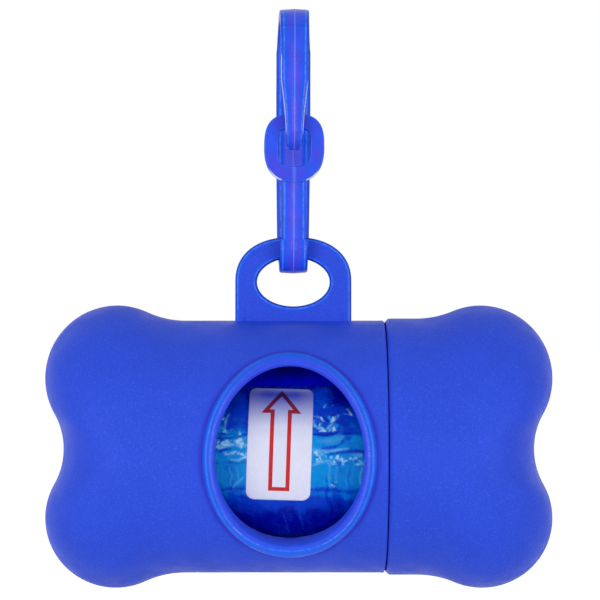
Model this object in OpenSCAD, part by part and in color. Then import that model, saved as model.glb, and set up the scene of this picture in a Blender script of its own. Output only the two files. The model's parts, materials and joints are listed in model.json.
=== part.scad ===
// Bone-shaped dispenser for a roll of dog waste bags, with a snap hook.
// Millimetres. X runs along the bone, Y into the front view, Z up.
// The origin is the centre of the hook's top arch, where the dispenser hangs.

/* [Bag roll] */
// Diameter of a full roll
roll_d = 31.5; // [26:0.5:36]
// Length of the roll along the bone
roll_length = 62; // [55:0.5:70]
// Outer diameter of the cardboard core
core_d = 14; // [11:0.5:18]
// Wall of the cardboard core
core_wall = 0.8; // [0.5:0.1:1.5]
// Thickness of the outermost bag's wrap
wrap_t = 0.15; // [0.1:0.05:0.4]
// Free height above the roll when it lies at the bottom of its chamber
roll_play = 2.8; // [2:0.1:5]
// Gap under the roll where it lies
roll_lift = 0.3; // [0.2:0.05:0.6]

/* [Label] */
// Width of the label along the roll
label_w = 10.2; // [6:0.2:16]
// Length of the label around the roll
label_length = 18.8; // [12:0.2:26]
// Thickness of the label
label_t = 0.1; // [0.05:0.05:0.15]
// Offset of the label's centre from the bone's centre
label_x = -3; // [-6:0.1:6]
// Angle of the label's middle above the front of the roll
label_angle = 10.8; // [0:0.1:30]

/* [Bone] */
// Wall of the round middle
shell_wall = 3.4; // [3:0.1:5]
// Wall at the hollow between the two lobes of an end
end_wall = 2.2; // [1.5:0.1:4]
// Room past each end of the roll
end_space = 5.2; // [4.5:0.1:8]
// Room past the roll's rim, where the chamber's end begins to dome
rim_space = 0.3; // [0.2:0.05:1]
// Depth of the hollow between two lobes
saddle_depth = 3.1; // [2:0.1:4.5]
// Radius of each lobe's outline
lobe_r = 11.55; // [10:0.05:13]
// How far the lobes stand out past the round middle
lobe_rise = 2.5; // [1.5:0.1:4]
// Radius of the outline where a lobe runs into the round middle
waist_r = 15.8; // [10:0.1:22]
// Fullness of the ends seen from above, added to a circle's 2
end_fullness = 0.5; // [0:0.05:1]

/* [Cap] */
// Where the cap meets the shell, to the right of the bone's centre
seam_x = 14; // [13.5:0.1:16]
// Gap between the rims of the cap and the shell
seam_gap = 0.3; // [0.2:0.05:0.6]
// How far the cap's rim stands out past the shell
cap_step = 0.35; // [0:0.05:0.8]
// Chamfer on the cap's rim
cap_lip = 0.6; // [0.2:0.05:1]
// Chamfer on the shell's rim
shell_lip = 0.2; // [0.1:0.05:0.6]
// Length of the neck that the cap slides over
neck_length = 8.5; // [6:0.1:11]
// Wall of the neck
neck_wall = 1.35; // [1:0.05:1.6]
// Radial gap between the neck and the cap
neck_fit = 0.1; // [0.05:0.01:0.1]
// Gap past the end of the neck
neck_end_gap = 0.5; // [0.3:0.1:1]

/* [Outlet] */
// Width of the outlet
outlet_w = 23.4; // [18:0.1:24]
// Height of the outlet
outlet_h = 28.3; // [20:0.1:29]
// Width of the raised rim around the outlet
rim_w = 1.9; // [1:0.1:2.5]
// Height of the rim above the shell
rim_h = 1; // [0.4:0.1:1.5]
// Offset of the outlet from the bone's centre
outlet_x = -1.4; // [-2.5:0.1:0]
// Height of the outlet's centre above the bone's axis
outlet_z = -0.5; // [-1:0.1:1]

/* [Tab] */
// Width of the tab
tab_w = 19.1; // [16:0.1:24]
// Thickness of the tab
tab_t = 3.2; // [2.4:0.1:4]
// Width of the eye
eye_w = 12; // [9:0.1:14]
// Height of the eye
eye_h = 8; // [7:0.1:10]
// Height of the bar over the eye
bar_h = 3.1; // [2.4:0.1:4]
// Height of the web between the round middle and the eye
web_h = 2.5; // [1.5:0.1:5]
// Offset of the tab from the bone's centre
tab_x = -0.9; // [-2:0.1:2]

/* [Hook] */
// Height of the hook, outside to outside
hook_h = 43.6; // [38:0.2:55]
// Inner radius of the top arch
arch_r = 4.6; // [4.3:0.1:6]
// Thickness of the arch, the spine's top and the gate
hook_t = 2.1; // [1.6:0.1:2.8]
// Width of the spine and the arch
spine_w = 5.4; // [4:0.1:6]
// Width of the spine at its foot
spine_foot_w = 4.9; // [3.6:0.1:5.6]
// Thickness of the bend under the tab's bar
bend_t = 1.65; // [1.3:0.05:2.2]
// Width of the bend
bend_w = 4.5; // [3.6:0.1:5.4]
// Gap between the bend and the corners of the bar as it turns
bend_gap = 0.19; // [0.1:0.01:0.5]
// Width of the front arm
arm_w = 3.9; // [3:0.1:4.4]

/* [Catch ring and gate] */
// Width of the catch ring
ring_w = 9.7; // [8:0.1:12]
// Height of the catch ring
ring_h = 11; // [10:0.1:13]
// Thickness of the catch ring, front to back
ring_t = 2; // [1.6:0.1:2.2]
// Width of the ring's hole
hole_w = 5.25; // [4.4:0.05:6.2]
// Height of the ring's hole
hole_h = 6.15; // [5:0.05:7]
// Length of the front arm between the bend's centre and the ring
arm_length = 10.7; // [8:0.1:12]
// Width of the gate at its top
gate_w = 4.5; // [4:0.1:5.4]
// Width of the gate's tip
tip_w = 2.6; // [2:0.1:3.4]
// Gap between the gate and the ring that it latches in
gate_gap = 0.2; // [0.15:0.05:0.4]
// Gap in the flexing corner between the gate and the arch
flex_gap = 0.1; // [0.05:0.01:0.2]
// Depth of the flexing corner under the arch's centre
flex_drop = 2; // [1.5:0.1:4]

/* [Hidden] */

$fn = 96;
RING_STEPS = 20;     // steps over half a ring of the bone's skin
LOBE_STEPS = 14;     // steps round one lobe's outline
SADDLE_STEPS = 3;    // steps over half the hollow between two lobes
WAIST_STEPS = 3;     // steps over the run from the middle to a lobe
DOME_STEPS = 8;      // steps over the chamber's domed end
OVAL_STEPS = 48;     // steps round an oval
PAST = 1;            // how far a cut runs past the face it opens

// Round middle and chamber
roll_r = roll_d / 2;
chamber_r = roll_r + (roll_play + roll_lift) / 2;
roll_z = -(roll_play - roll_lift) / 2;
tube_r = chamber_r + shell_wall;
chamber_straight = roll_length / 2 + rim_space;
chamber_end = roll_length / 2 + end_space;
half_length = chamber_end + end_wall + saddle_depth;

// Outline of an end: the lobe's centre and the hollow's arc between two lobes
lobe_x = half_length - lobe_r;
lobe_z = tube_r + lobe_rise - lobe_r;
saddle_x = half_length - saddle_depth;
saddle_in = saddle_x - lobe_x;
saddle_r = (pow(saddle_in, 2) + pow(lobe_z, 2) - pow(lobe_r, 2)) / (2 * (lobe_r - saddle_in));
saddle_turn = atan2(-lobe_z, saddle_in + saddle_r);

// Neck and cap
neck_r = chamber_r + neck_wall;
neck_end = seam_x + neck_length;
cap_r = tube_r + cap_step;
socket_r = neck_r + neck_fit;
neck_root = 1.5;     // how deep the neck is rooted in the shell's wall
neck_chamfer = 0.4;

// Tab, from the bone's axis up
tab_arch_power = 2.3;
tab_root = 2;        // how deep the tab is rooted in the shell's wall
eye_z = tube_r + web_h + eye_h / 2;
tab_top = eye_z + eye_h / 2 + bar_h;
bar_z = tab_top - bar_h / 2;

// Half diagonal of the bar where the bend's edge meets it, which turns inside the bend
bar_under = bar_z - (eye_z + eye_h / 2 * sqrt(1 - pow(bend_w / eye_w, 2)));
bar_reach = norm([bar_under, tab_t / 2]);

// Hook, from its arch's centre
bend_in = bar_reach + bend_gap;
bend_out = bend_in + bend_t;
arch_out = arch_r + hook_t;
bend_z = -(hook_h - arch_out - bend_out);
bone_z = bend_z - bar_z;      // height of the bone's axis
bone_x = -tab_x;              // place of the bone's centre
spine_straight = 3;           // straight stretch of the spine under the arch
knuckle_h = 1.1;              // straight stretch of the bend's wide part

// Catch ring and gate, from the arch's centre
ring_low = bend_z + arm_length;
ring_z = ring_low + ring_h / 2;
ring_set = 0.2;               // how far the ring's back stands behind the arm's
ring_back = -bend_in + ring_set;
ring_front = ring_back - ring_t;
arm_top = ring_low + (ring_h - hole_h) / 4;  // the arm ends inside the ring's lower band
gate_back = min(-arch_r, ring_front - gate_gap);
gate_front = gate_back - hook_t;
hole_top = ring_z + hole_h / 2;
hole_power = 5;
ring_power = 2.7;
latch_play = 0.15;            // further gap between the latch and the hole's top
latch_top = hole_top - gate_gap - latch_play;
latch_slope = 0.8;            // fall of the latch's top towards its back
tip_drop = 3.2;               // how far the tip reaches below the latch's top
tip_bevel = 0.6;              // bevels under the tip
tip_short = 0.2;              // the tip ends this far short of the ring's back
tip_z = latch_top - tip_drop;
tip_back = ring_back - tip_short;
flex_y = (gate_back + gate_front) / 2;

// ---- shared shapes -------------------------------------------------------

function unit(a) = [cos(a), sin(a)];

// Points of an arc, leaving out the first "skip" of them
function arc(centre, r, from, to, steps, skip = 0) = [
    for (k = [skip : steps]) centre + r * unit(from + (to - from) * k / steps)
];

// Signed power, for superellipses
function spow(v, p) = sign(v) * pow(abs(v), p);

function superellipse(w, h, power, steps) = [
    for (k = [0 : steps - 1])
        let (a = 360 * k / steps)
        [w / 2 * spow(cos(a), 2 / power), h / 2 * spow(sin(a), 2 / power)]
];

// Solid of revolution about X, from [x, radius] points
module turned(points) {
    rotate([0, 90, 0])
        rotate_extrude()
            polygon([for (p = points) [p[1], p[0]]]);
}

// Solid whose outline stands in the XZ plane, centred on y
module plate(t, y = 0) {
    translate([0, y + t / 2, 0])
        rotate([90, 0, 0])
            linear_extrude(height = t)
                children();
}

// Solid whose outline stands in the YZ plane, centred on X
module strip(w) {
    rotate([90, 0, 90])
        linear_extrude(height = w, center = true)
            children();
}

// Half of a round bend about X: side = 1 for the upper half, -1 for the lower
module half_bend(r_in, r_out, w, side) {
    intersection() {
        rotate([0, 90, 0])
            difference() {
                cylinder(r = r_out, h = w, center = true);
                cylinder(r = r_in, h = w + 2 * PAST, center = true);
            }
        translate([-w, -r_out - PAST, side > 0 ? 0 : -r_out - PAST])
            cube([2 * w, 2 * (r_out + PAST), r_out + PAST]);
    }
}

// Moves a shape from the bone's own centre to its place under the hook
module on_bone() {
    translate([bone_x, 0, bone_z])
        children();
}

// ---- skin of the bone ----------------------------------------------------

// Centre of the outline's arc between a middle of radius r and the lobe
function waist_centre(r) = [
    lobe_x - sqrt(pow(waist_r + lobe_r, 2) - pow(r + waist_r - lobe_z, 2)),
    r + waist_r
];

// Direction from that centre to the lobe's centre
function waist_turn(r) =
    let (c = waist_centre(r)) atan2(lobe_z - c[1], lobe_x - c[0]);

// Rings [x, half height, half depth] from the rim at x0 to the lobes' root
function skin_rings(x0, r, lip) = concat(
    [[x0, r - lip, r - lip], [x0 + lip, r, r]],
    [for (p = arc(waist_centre(r), waist_r, -90, waist_turn(r), WAIST_STEPS)) [p[0], p[1], r]]
);

// Outline over the upper lobe and down to the middle of the hollow
function half_outline(r) = concat(
    arc([lobe_x, lobe_z], lobe_r, waist_turn(r) + 180, saddle_turn, LOBE_STEPS, 1),
    arc([saddle_x + saddle_r, 0], saddle_r, 180 + saddle_turn, 180, SADDLE_STEPS, 1)
);

// Whole outline of the domed end, upper root to lower root
function dome_outline(r) =
    let (half = half_outline(r), n = len(half))
    concat(half, [for (k = [n - 2 : -1 : 0]) [half[k][0], -half[k][1]]]);

// One meridian of the dome, from the front pole over outline point p to the back pole
function meridian(p, pole_x, depth, power) = [
    for (j = [1 : RING_STEPS - 1])
        let (
            a = 180 * j / RING_STEPS,
            out = pow(sin(a), 2 / power),
            back = -spow(cos(a), 2 / power)
        )
        [pole_x + (p[0] - pole_x) * out, depth * back, p[1] * out]
];

// Right-hand end of the bone as a closed skin that starts at x0 with radius r
module bone_end(x0, r, lip) {
    rings = skin_rings(x0, r, lip);
    outline = dome_outline(r);
    last = len(rings) - 1;
    count = len(outline);
    around = 2 * RING_STEPS;
    pole_x = rings[last][0];

    ring_points = [
        for (g = rings, j = [0 : around - 1])
            let (a = 360 * j / around)
            [g[0], -g[2] * cos(a), g[1] * sin(a)]
    ];
    dome_points = [
        for (i = [0 : count - 1])
            let (
                share = (1 - cos(360 * (i + 1) / (count + 1))) / 2,
                points = meridian(outline[i], pole_x, r, 2 + end_fullness * share)
            )
            each points
    ];

    // Index of point j on meridian i of the dome, where -1 and count are the last ring's halves
    function at(i, j) =
        j == 0 ? last * around
        : j == RING_STEPS ? last * around + RING_STEPS
        : i < 0 ? last * around + j
        : i >= count ? last * around + around - j
        : (last + 1) * around + i * (RING_STEPS - 1) + j - 1;

    rim_face = [[for (j = [0 : around - 1]) around - 1 - j]];
    tube_faces = [
        for (i = [0 : last - 1], j = [0 : around - 1])
            let (
                next = (j + 1) % around,
                a = i * around + j,
                b = i * around + next,
                c = (i + 1) * around + next,
                d = (i + 1) * around + j
            )
            each [[a, b, c], [a, c, d]]
    ];
    dome_faces = [
        for (i = [-1 : count - 1], j = [0 : RING_STEPS - 1])
            let (a = at(i, j), b = at(i, j + 1), c = at(i + 1, j + 1), d = at(i + 1, j))
            each concat(b == c ? [] : [[a, b, c]], a == d ? [] : [[a, c, d]])
    ];
    polyhedron(concat(ring_points, dome_points), concat(rim_face, tube_faces, dome_faces));
}

// Chamber for the roll, round with domed ends, cut through both shells
module roll_chamber() {
    rise = chamber_end - chamber_straight;
    dome_r = (pow(chamber_r, 2) + pow(rise, 2)) / (2 * rise);
    open = asin(chamber_r / dome_r);
    dome = [
        for (k = [0 : DOME_STEPS])
            let (a = open * (1 - k / DOME_STEPS))
            [chamber_end - dome_r * (1 - cos(a)), dome_r * sin(a)]
    ];
    turned(concat(dome, [for (k = [DOME_STEPS : -1 : 0]) [-dome[k][0], dome[k][1]]]));
}

module outlet_outline(margin) {
    polygon([
        for (p = superellipse(outlet_w + 2 * margin, outlet_h + 2 * margin, 2, OVAL_STEPS))
            p + [outlet_x, outlet_z]
    ]);
}

// Raised rim that follows the outlet over the round middle
module outlet_rim() {
    reach = tube_r + rim_h;
    intersection() {
        translate([outlet_x, 0, 0])
            rotate([0, 90, 0])
                cylinder(r = reach, h = outlet_w + 4 * rim_w, center = true);
        plate(reach, -reach / 2)
            outlet_outline(rim_w);
    }
}

// ---- tab -----------------------------------------------------------------

module tab_outline() {
    rise = tab_top - eye_z;
    foot = tube_r - tab_root;
    arch = [
        for (k = [0 : OVAL_STEPS / 2])
            let (a = 360 * k / OVAL_STEPS)
            [
                tab_w / 2 * spow(cos(a), 2 / tab_arch_power),
                eye_z + rise * spow(sin(a), 2 / tab_arch_power)
            ]
    ];
    polygon(concat([[-tab_w / 2, foot], [tab_w / 2, foot]], arch));
}

module tab() {
    translate([tab_x, 0, 0])
        plate(tab_t)
            difference() {
                tab_outline();
                translate([0, eye_z])
                    polygon(superellipse(eye_w, eye_h, 2, OVAL_STEPS));
            }
}

// ---- sub-parts -----------------------------------------------------------

// Left end and middle of the bone, with the neck, the outlet's rim and the tab in one moulding
module main_shell() {
    color("royalblue")
        on_bone() {
            difference() {
                union() {
                    mirror([1, 0, 0])
                        bone_end(-seam_x, tube_r, shell_lip);
                    turned([
                        [seam_x - neck_root, 0],
                        [seam_x - neck_root, neck_r],
                        [neck_end - neck_chamfer, neck_r],
                        [neck_end, neck_r - neck_chamfer],
                        [neck_end, 0]
                    ]);
                    outlet_rim();
                    tab();
                }
                roll_chamber();
                plate(tube_r + 2 * rim_h, -(tube_r + 2 * rim_h) / 2)
                    outlet_outline(0);
            }
        }
}

// Right end of the bone, which slides off the neck to refill
module end_cap() {
    color("royalblue")
        on_bone()
            difference() {
                bone_end(seam_x + seam_gap, cap_r, cap_lip);
                roll_chamber();
                turned([
                    [seam_x - PAST, 0],
                    [seam_x - PAST, socket_r],
                    [neck_end + neck_end_gap, socket_r],
                    [neck_end + neck_end_gap, 0]
                ]);
            }
}

// Spine seen from the side, straight under the arch and then leaning in to the bend
module spine_side() {
    polygon([
        [arch_r, 0],
        [arch_out, 0],
        [arch_out, -spine_straight],
        [bend_out, bend_z],
        [bend_in, bend_z],
        [arch_r, -spine_straight]
    ]);
}

// Spine seen from the front
module spine_front() {
    polygon([
        [-spine_w / 2, 0],
        [spine_w / 2, 0],
        [spine_w / 2, bend_z / 2],
        [spine_foot_w / 2, bend_z],
        [-spine_foot_w / 2, bend_z],
        [-spine_w / 2, bend_z / 2]
    ]);
}

// Catch ring that the gate latches in
module catch_ring() {
    plate(ring_t, (ring_front + ring_back) / 2)
        translate([0, ring_z])
            difference() {
                polygon(superellipse(ring_w, ring_h, ring_power, OVAL_STEPS));
                polygon(superellipse(hole_w, hole_h, hole_power, OVAL_STEPS));
            }
}

// Flexing corner, a round seat about the gate's axis
module flex_round(r, w) {
    translate([0, flex_y, -flex_drop])
        rotate([0, 90, 0])
            cylinder(r = r, h = w, center = true);
}

// Snap hook without its gate: arch, spine, bend, front arm and catch ring
module hook_frame() {
    color("royalblue")
        union() {
            half_bend(arch_r, arch_out, spine_w, 1);
            intersection() {
                strip(spine_w)
                    spine_side();
                plate(2 * (arch_out + PAST))
                    spine_front();
            }
            difference() {
                strip(gate_w)
                    polygon([
                        [-arch_out, 0],
                        [-arch_r, 0],
                        [gate_back, -flex_drop],
                        [gate_front, -flex_drop]
                    ]);
                flex_round(hook_t / 2 + flex_gap, spine_w);
            }
            translate([0, 0, bend_z]) {
                half_bend(bend_in, bend_out, bend_w, -1);
                strip(bend_w)
                    polygon([[-bend_out, 0], [-bend_in, 0], [-bend_in, knuckle_h], [-bend_out, knuckle_h]]);
            }
            strip(arm_w)
                polygon([
                    [-bend_out, bend_z],
                    [-bend_in, bend_z],
                    [ring_back, arm_top],
                    [ring_front, arm_top]
                ]);
            catch_ring();
        }
}

// Gate seen from the side: a tongue in front of the ring, whose tip turns back into its hole
module gate_side() {
    polygon([
        [gate_front, -flex_drop],
        [gate_front, latch_top],
        [gate_front + tip_bevel, latch_top - 2 * tip_bevel],
        [gate_back, tip_z + tip_bevel],
        [tip_back - tip_bevel, tip_z],
        [tip_back, tip_z + tip_bevel],
        [tip_back, latch_top - latch_slope],
        [gate_back, latch_top],
        [gate_back, -flex_drop]
    ]);
}

// Gate seen from the front, narrowing towards its tip
module gate_front_view() {
    ring_top = ring_z + ring_h / 2;
    polygon([
        [-gate_w / 2, 0],
        [gate_w / 2, 0],
        [gate_w / 2, ring_top / 3],
        [(gate_w + tip_w) / 4, ring_top],
        [tip_w / 2, tip_z - PAST],
        [-tip_w / 2, tip_z - PAST],
        [-(gate_w + tip_w) / 4, ring_top],
        [-gate_w / 2, ring_top / 3]
    ]);
}

// Tongue that springs forward to open the hook
module hook_gate() {
    color("cornflowerblue")
        union() {
            flex_round(hook_t / 2, gate_w);
            intersection() {
                strip(gate_w)
                    gate_side();
                plate(2 * (arch_out + PAST))
                    gate_front_view();
            }
        }
}

// Hollow cylinder about the roll's axis
module roll_tube(r_out, r_in) {
    on_bone()
        translate([0, 0, roll_z])
            rotate([0, 90, 0])
                difference() {
                    cylinder(r = r_out, h = roll_length, center = true);
                    cylinder(r = r_in, h = roll_length + 2 * PAST, center = true);
                }
}

module roll_core() {
    color("tan")
        roll_tube(core_d / 2, core_d / 2 - core_wall);
}

// All the bags wound inside the outermost one
module bag_roll() {
    color("steelblue")
        roll_tube(roll_r - wrap_t, core_d / 2);
}

module outer_bag() {
    color("deepskyblue")
        roll_tube(roll_r, roll_r - wrap_t);
}

// Paper label that holds the loose end of the outermost bag
module roll_label() {
    sweep = label_length / roll_r * 180 / PI;
    color("white")
        on_bone()
            translate([label_x - label_w / 2, 0, roll_z])
                rotate([0, 90, 0])
                    rotate([0, 0, -90 - label_angle - sweep / 2])
                        rotate_extrude(angle = sweep)
                            translate([roll_r, 0])
                                square([label_t, label_w]);
}

main_shell();
end_cap();
hook_frame();
hook_gate();
roll_core();
bag_roll();
outer_bag();
roll_label();
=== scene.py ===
"""Looks of a bone-shaped dispenser for dog waste bags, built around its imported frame.

Lengths are in metres. X runs along the bone, Y into the front view, Z up, and the origin is
the centre of the hook's top arch.
"""

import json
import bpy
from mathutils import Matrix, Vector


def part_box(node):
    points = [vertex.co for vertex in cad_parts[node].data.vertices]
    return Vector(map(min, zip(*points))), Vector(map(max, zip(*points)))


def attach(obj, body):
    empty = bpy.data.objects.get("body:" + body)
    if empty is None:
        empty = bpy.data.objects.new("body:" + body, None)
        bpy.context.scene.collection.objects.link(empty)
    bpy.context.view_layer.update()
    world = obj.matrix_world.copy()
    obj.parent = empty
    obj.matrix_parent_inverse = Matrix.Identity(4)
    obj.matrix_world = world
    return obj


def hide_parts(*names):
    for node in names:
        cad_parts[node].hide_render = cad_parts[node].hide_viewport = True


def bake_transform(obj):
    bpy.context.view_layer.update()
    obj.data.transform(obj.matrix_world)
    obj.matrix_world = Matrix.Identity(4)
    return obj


bl_info = {
    "name": "Bone Bag Dispenser",
    "version": (1, 0, 0),
    "blender": (4, 5, 0),
    "location": "View3D > Sidebar > Dispenser",
    "description": "Builds a bone-shaped bag dispenser with its hook, cap and roll of bags",
    "category": "Object",
}

import bmesh
import bpy
import numpy as np
from mathutils import Vector

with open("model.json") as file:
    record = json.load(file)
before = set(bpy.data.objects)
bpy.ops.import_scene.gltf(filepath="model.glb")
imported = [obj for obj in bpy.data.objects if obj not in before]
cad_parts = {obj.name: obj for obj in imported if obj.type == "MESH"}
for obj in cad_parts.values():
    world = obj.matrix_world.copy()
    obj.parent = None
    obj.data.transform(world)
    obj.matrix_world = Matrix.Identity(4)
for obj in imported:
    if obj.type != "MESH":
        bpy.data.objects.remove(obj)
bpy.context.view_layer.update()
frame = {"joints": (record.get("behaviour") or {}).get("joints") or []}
MM = 0.001

CAP_LOW, CAP_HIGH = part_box("end_cap")
SHELL_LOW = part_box("main_shell")[0]
ROLL_LOW, ROLL_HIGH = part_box("outer_bag")
BONE_X = (CAP_HIGH.x + SHELL_LOW.x) / 2
BONE_Z = (CAP_HIGH.z + CAP_LOW.z) / 2
HALF_LENGTH = (CAP_HIGH.x - SHELL_LOW.x) / 2
ROLL_Z = (ROLL_LOW.z + ROLL_HIGH.z) / 2
BONE_SWING = next(j for j in frame["joints"] if j["name"] == "bone_swing")
BEND_Z = BONE_SWING["pos_m"][2]     # the tab's bar lies in the hook's bend


# ---- sizes and colours ----------------------------------------------------


def place(name, description, default, **limits):
    """A signed offset in metres."""
    return bpy.props.FloatProperty(
        name=name, description=description, default=default, unit="LENGTH", precision=5, **limits
    )


def length(name, description, default):
    """A size in metres, which can't be negative."""
    return place(name, description, default, min=0.0)


def angle(name, description, degrees):
    """An angle that shows in degrees."""
    return bpy.props.FloatProperty(
        name=name, description=description, default=np.radians(degrees), subtype="ANGLE"
    )


def paint(name, where, default):
    """A linear colour, described by where it shows."""
    return bpy.props.FloatVectorProperty(
        name=name, description=f"Colour of {where}", default=default,
        subtype="COLOR", min=0.0, max=1.0,
    )


class CaseSizes(bpy.types.PropertyGroup):
    """Sizes of the bone-shaped case"""

    tube_radius: length("Tube radius", "Outer radius of the round middle", 0.0207)
    cap_step: length("Cap step", "How far the cap's rim stands out past the shell", 0.00035)
    chamber_radius: length("Chamber radius", "Radius of the chamber for the roll", 0.0173)
    chamber_straight: length("Chamber half", "Half the straight length of the chamber", 0.0313)
    chamber_end: length("Chamber end", "From the middle to the end of the chamber's dome", 0.0362)
    saddle_depth: length("Saddle depth", "Depth of the hollow between two lobes", 0.0031)
    lobe_radius: length("Lobe radius", "Radius of each lobe's outline", 0.01155)
    lobe_rise: length("Lobe rise", "How far the lobes stand out past the middle", 0.0025)
    waist_radius: length("Waist radius", "Radius where a lobe runs into the middle", 0.0158)
    seam: place("Seam", "Where the cap meets the shell", 0.014)
    seam_gap: length("Seam gap", "Gap between the two rims", 0.00017)
    neck_radius: length("Neck radius", "Outer radius of the neck", 0.01865)
    neck_fit: length("Neck fit", "Radial gap between neck and cap", 0.0001)
    neck_length: length("Neck length", "Length of the neck past the seam", 0.0085)
    outlet_width: length("Outlet width", "Width of the outlet", 0.0234)
    outlet_height: length("Outlet height", "Height of the outlet", 0.0283)
    outlet_offset: place("Outlet offset", "Outlet's place along the bone", -0.0014)
    outlet_rise: place("Outlet rise", "Outlet's place over the bone's axis", -0.0005)
    outlet_draft: length("Outlet draft", "How much the outlet's foot is higher inside", 0.0007)
    rim_width: length("Rim width", "Width of the raised rim", 0.0019)
    rim_height: length("Rim height", "Height of the raised rim", 0.001)
    tab_width: length("Tab width", "Width of the tab", 0.0191)
    tab_thickness: length("Tab thickness", "Thickness of the tab", 0.0032)
    eye_width: length("Eye width", "Width of the tab's eye", 0.012)
    eye_height: length("Eye height", "Height of the tab's eye", 0.008)
    eye_level: length("Eye level", "Height of the eye's centre over the bone's axis", 0.02705)
    tab_rise: length("Tab rise", "From the eye's centre to the tab's top", 0.00742)
    tab_round: length("Tab rounding", "Rounding of the tab's edges", 0.0006)


class HookSizes(bpy.types.PropertyGroup):
    """Sizes of the snap hook"""

    arch_radius: length("Arch radius", "Mean radius of the top arch", 0.00565)
    strip: length("Strip", "Thickness of the arch, spine and gate", 0.0021)
    spine_width: length("Spine width", "Width of the spine", 0.0057)
    spine_foot: length("Spine foot", "Width of the spine at its foot", 0.00525)
    bend_radius: length("Bend radius", "Mean radius of the bend under the tab's bar", 0.00345)
    bend_strip: length("Bend strip", "Thickness of the bend", 0.00165)
    bend_width: length("Bend width", "Width of the bend", 0.00465)
    arm_width: length("Arm width", "Width of the front arm", 0.0039)
    arm_length: length("Arm length", "From the bend's centre to the ring", 0.0107)
    ring_width: length("Ring width", "Width of the catch ring", 0.00982)
    ring_height: length("Ring height", "Height of the catch ring", 0.011)
    ring_strip: length("Ring strip", "Thickness of the catch ring, front to back", 0.002)
    hole_width: length("Hole width", "Width of the ring's hole", 0.00525)
    hole_height: length("Hole height", "Height of the ring's hole", 0.00615)
    gate_width: length("Gate width", "Width of the gate at its top", 0.00445)
    tip_width: length("Tip width", "Width of the gate's tip", 0.0026)


class RollSizes(bpy.types.PropertyGroup):
    """Sizes of the roll of bags and its label"""

    radius: length("Roll radius", "Radius of the roll", 0.01575)
    half_length: length("Roll half length", "Half the length of the roll", 0.031)
    core_radius: length("Core radius", "Outer radius of the core", 0.007)
    core_wall: length("Core wall", "Wall of the core", 0.0008)
    label_width: length("Label width", "Width of the label", 0.0102)
    label_length: length("Label length", "Length of the label around the roll", 0.0188)
    label_offset: place("Label offset", "Label's place along the bone", -0.003)
    label_angle: angle("Label angle", "Angle of the label's middle above the roll's front", 10.8)
    label_tilt: angle("Label tilt", "How far the label leans to the right", 1.9)


class Finishes(bpy.types.PropertyGroup):
    """Colours of the dispenser"""

    case: paint("Case", "the case's plastic", (0.028, 0.081, 0.715))
    # painted sheen on the tab towards its edges
    case_edge: paint("Case edges", "the tab where its faces near their edges", (0.008, 0.105, 0.84))
    rim: paint("Rim", "the outlet's smooth rim, outside", (0.008, 0.122, 0.86))
    rim_inside: paint("Rim, inside", "the rim's slope towards the outlet", (0.036, 0.083, 0.82))
    rim_low: paint("Rim, below", "the rim under the outlet", (0.02, 0.145, 0.96))
    # painted shade in the crease where the rim meets the case
    rim_foot: paint("Rim's foot", "the line where the rim meets the case", (0.036, 0.046, 0.60))
    # painted light: the outlet's wall is lighter than the case, and lightest at its foot
    wall: paint("Outlet's wall", "the outlet's wall at its sides", (0.03, 0.10, 0.90))
    wall_low: paint("Outlet's lower wall", "the outlet's wall at its foot", (0.074, 0.164, 1.0))
    hook: paint("Hook", "the hook's plastic", (0.052, 0.068, 0.78))
    # the hook's second blue for its slow streaks, and a painted sheen towards its sides
    hook_edge: paint("Hook edges", "the hook's plastic towards its sides", (0.002, 0.1, 0.86))
    # painted light on the spine behind the catch ring's hole
    hook_glow: paint("Hook, lit through", "the hook where light shines through", (0.12, 0.15, 1.0))
    # painted highlight lines along edges and the rim, and the pale parting line
    worn: paint("Worn edge", "the fine pale lines along worn edges", (0.34, 0.42, 0.98))
    # painted highlight on the hook's thin corners
    gleam: paint("Gleaming edge", "the thin bright corners of the hook", (0.8, 0.82, 0.98))
    # painted shade on the outermost edges
    outline: paint("Edge line", "the outermost edges", (0.003, 0.02, 0.38))
    # painted light: the film past the outermost bag's edge, lifted in the rim's shade
    film_under: paint("Film, under", "the film past the outermost bag's edge", (0.0, 0.002, 0.75))
    # the film's tones: the darkest also carry painted shade towards the outlet's top and foot
    film_deep: paint("Film, deep", "the film where many layers lie close", (0.0, 0.0015, 0.28))
    film_mid: paint("Film, wound", "the film where it lies flat", (0.0, 0.045, 0.56))
    film_light: paint("Film, loose", "the film where it lies loose", (0.0, 0.265, 0.70))
    # crease whitening and painted glints on the film
    film_crease: paint("Film creases", "the film's whitened creases", (0.45, 0.80, 0.97))
    paper: paint("Label", "the label's paper", (0.76, 0.775, 0.905))
    # painted shade: the label's end under the outlet's rim
    paper_dusk: paint("Label's end", "the label's end under the rim", (0.03, 0.05, 0.42))
    ink: paint("Ink", "the arrow's ink", (0.58, 0.018, 0.022))
    # painted shade: the arrow's tip under the outlet's rim
    ink_dusk: paint("Arrow's tip", "the arrow's ink under the rim", (0.012, 0.002, 0.03))
    card: paint("Card", "the roll's core", (0.45, 0.32, 0.2))
    floor: paint("Floor", "the floor", (0.9, 0.9, 0.9))


# ---- meshes ---------------------------------------------------------------


def put(name, data):
    """A new object of the data in the scene."""
    made = bpy.data.objects.new(name, data)
    bpy.context.scene.collection.objects.link(made)
    return made


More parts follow.
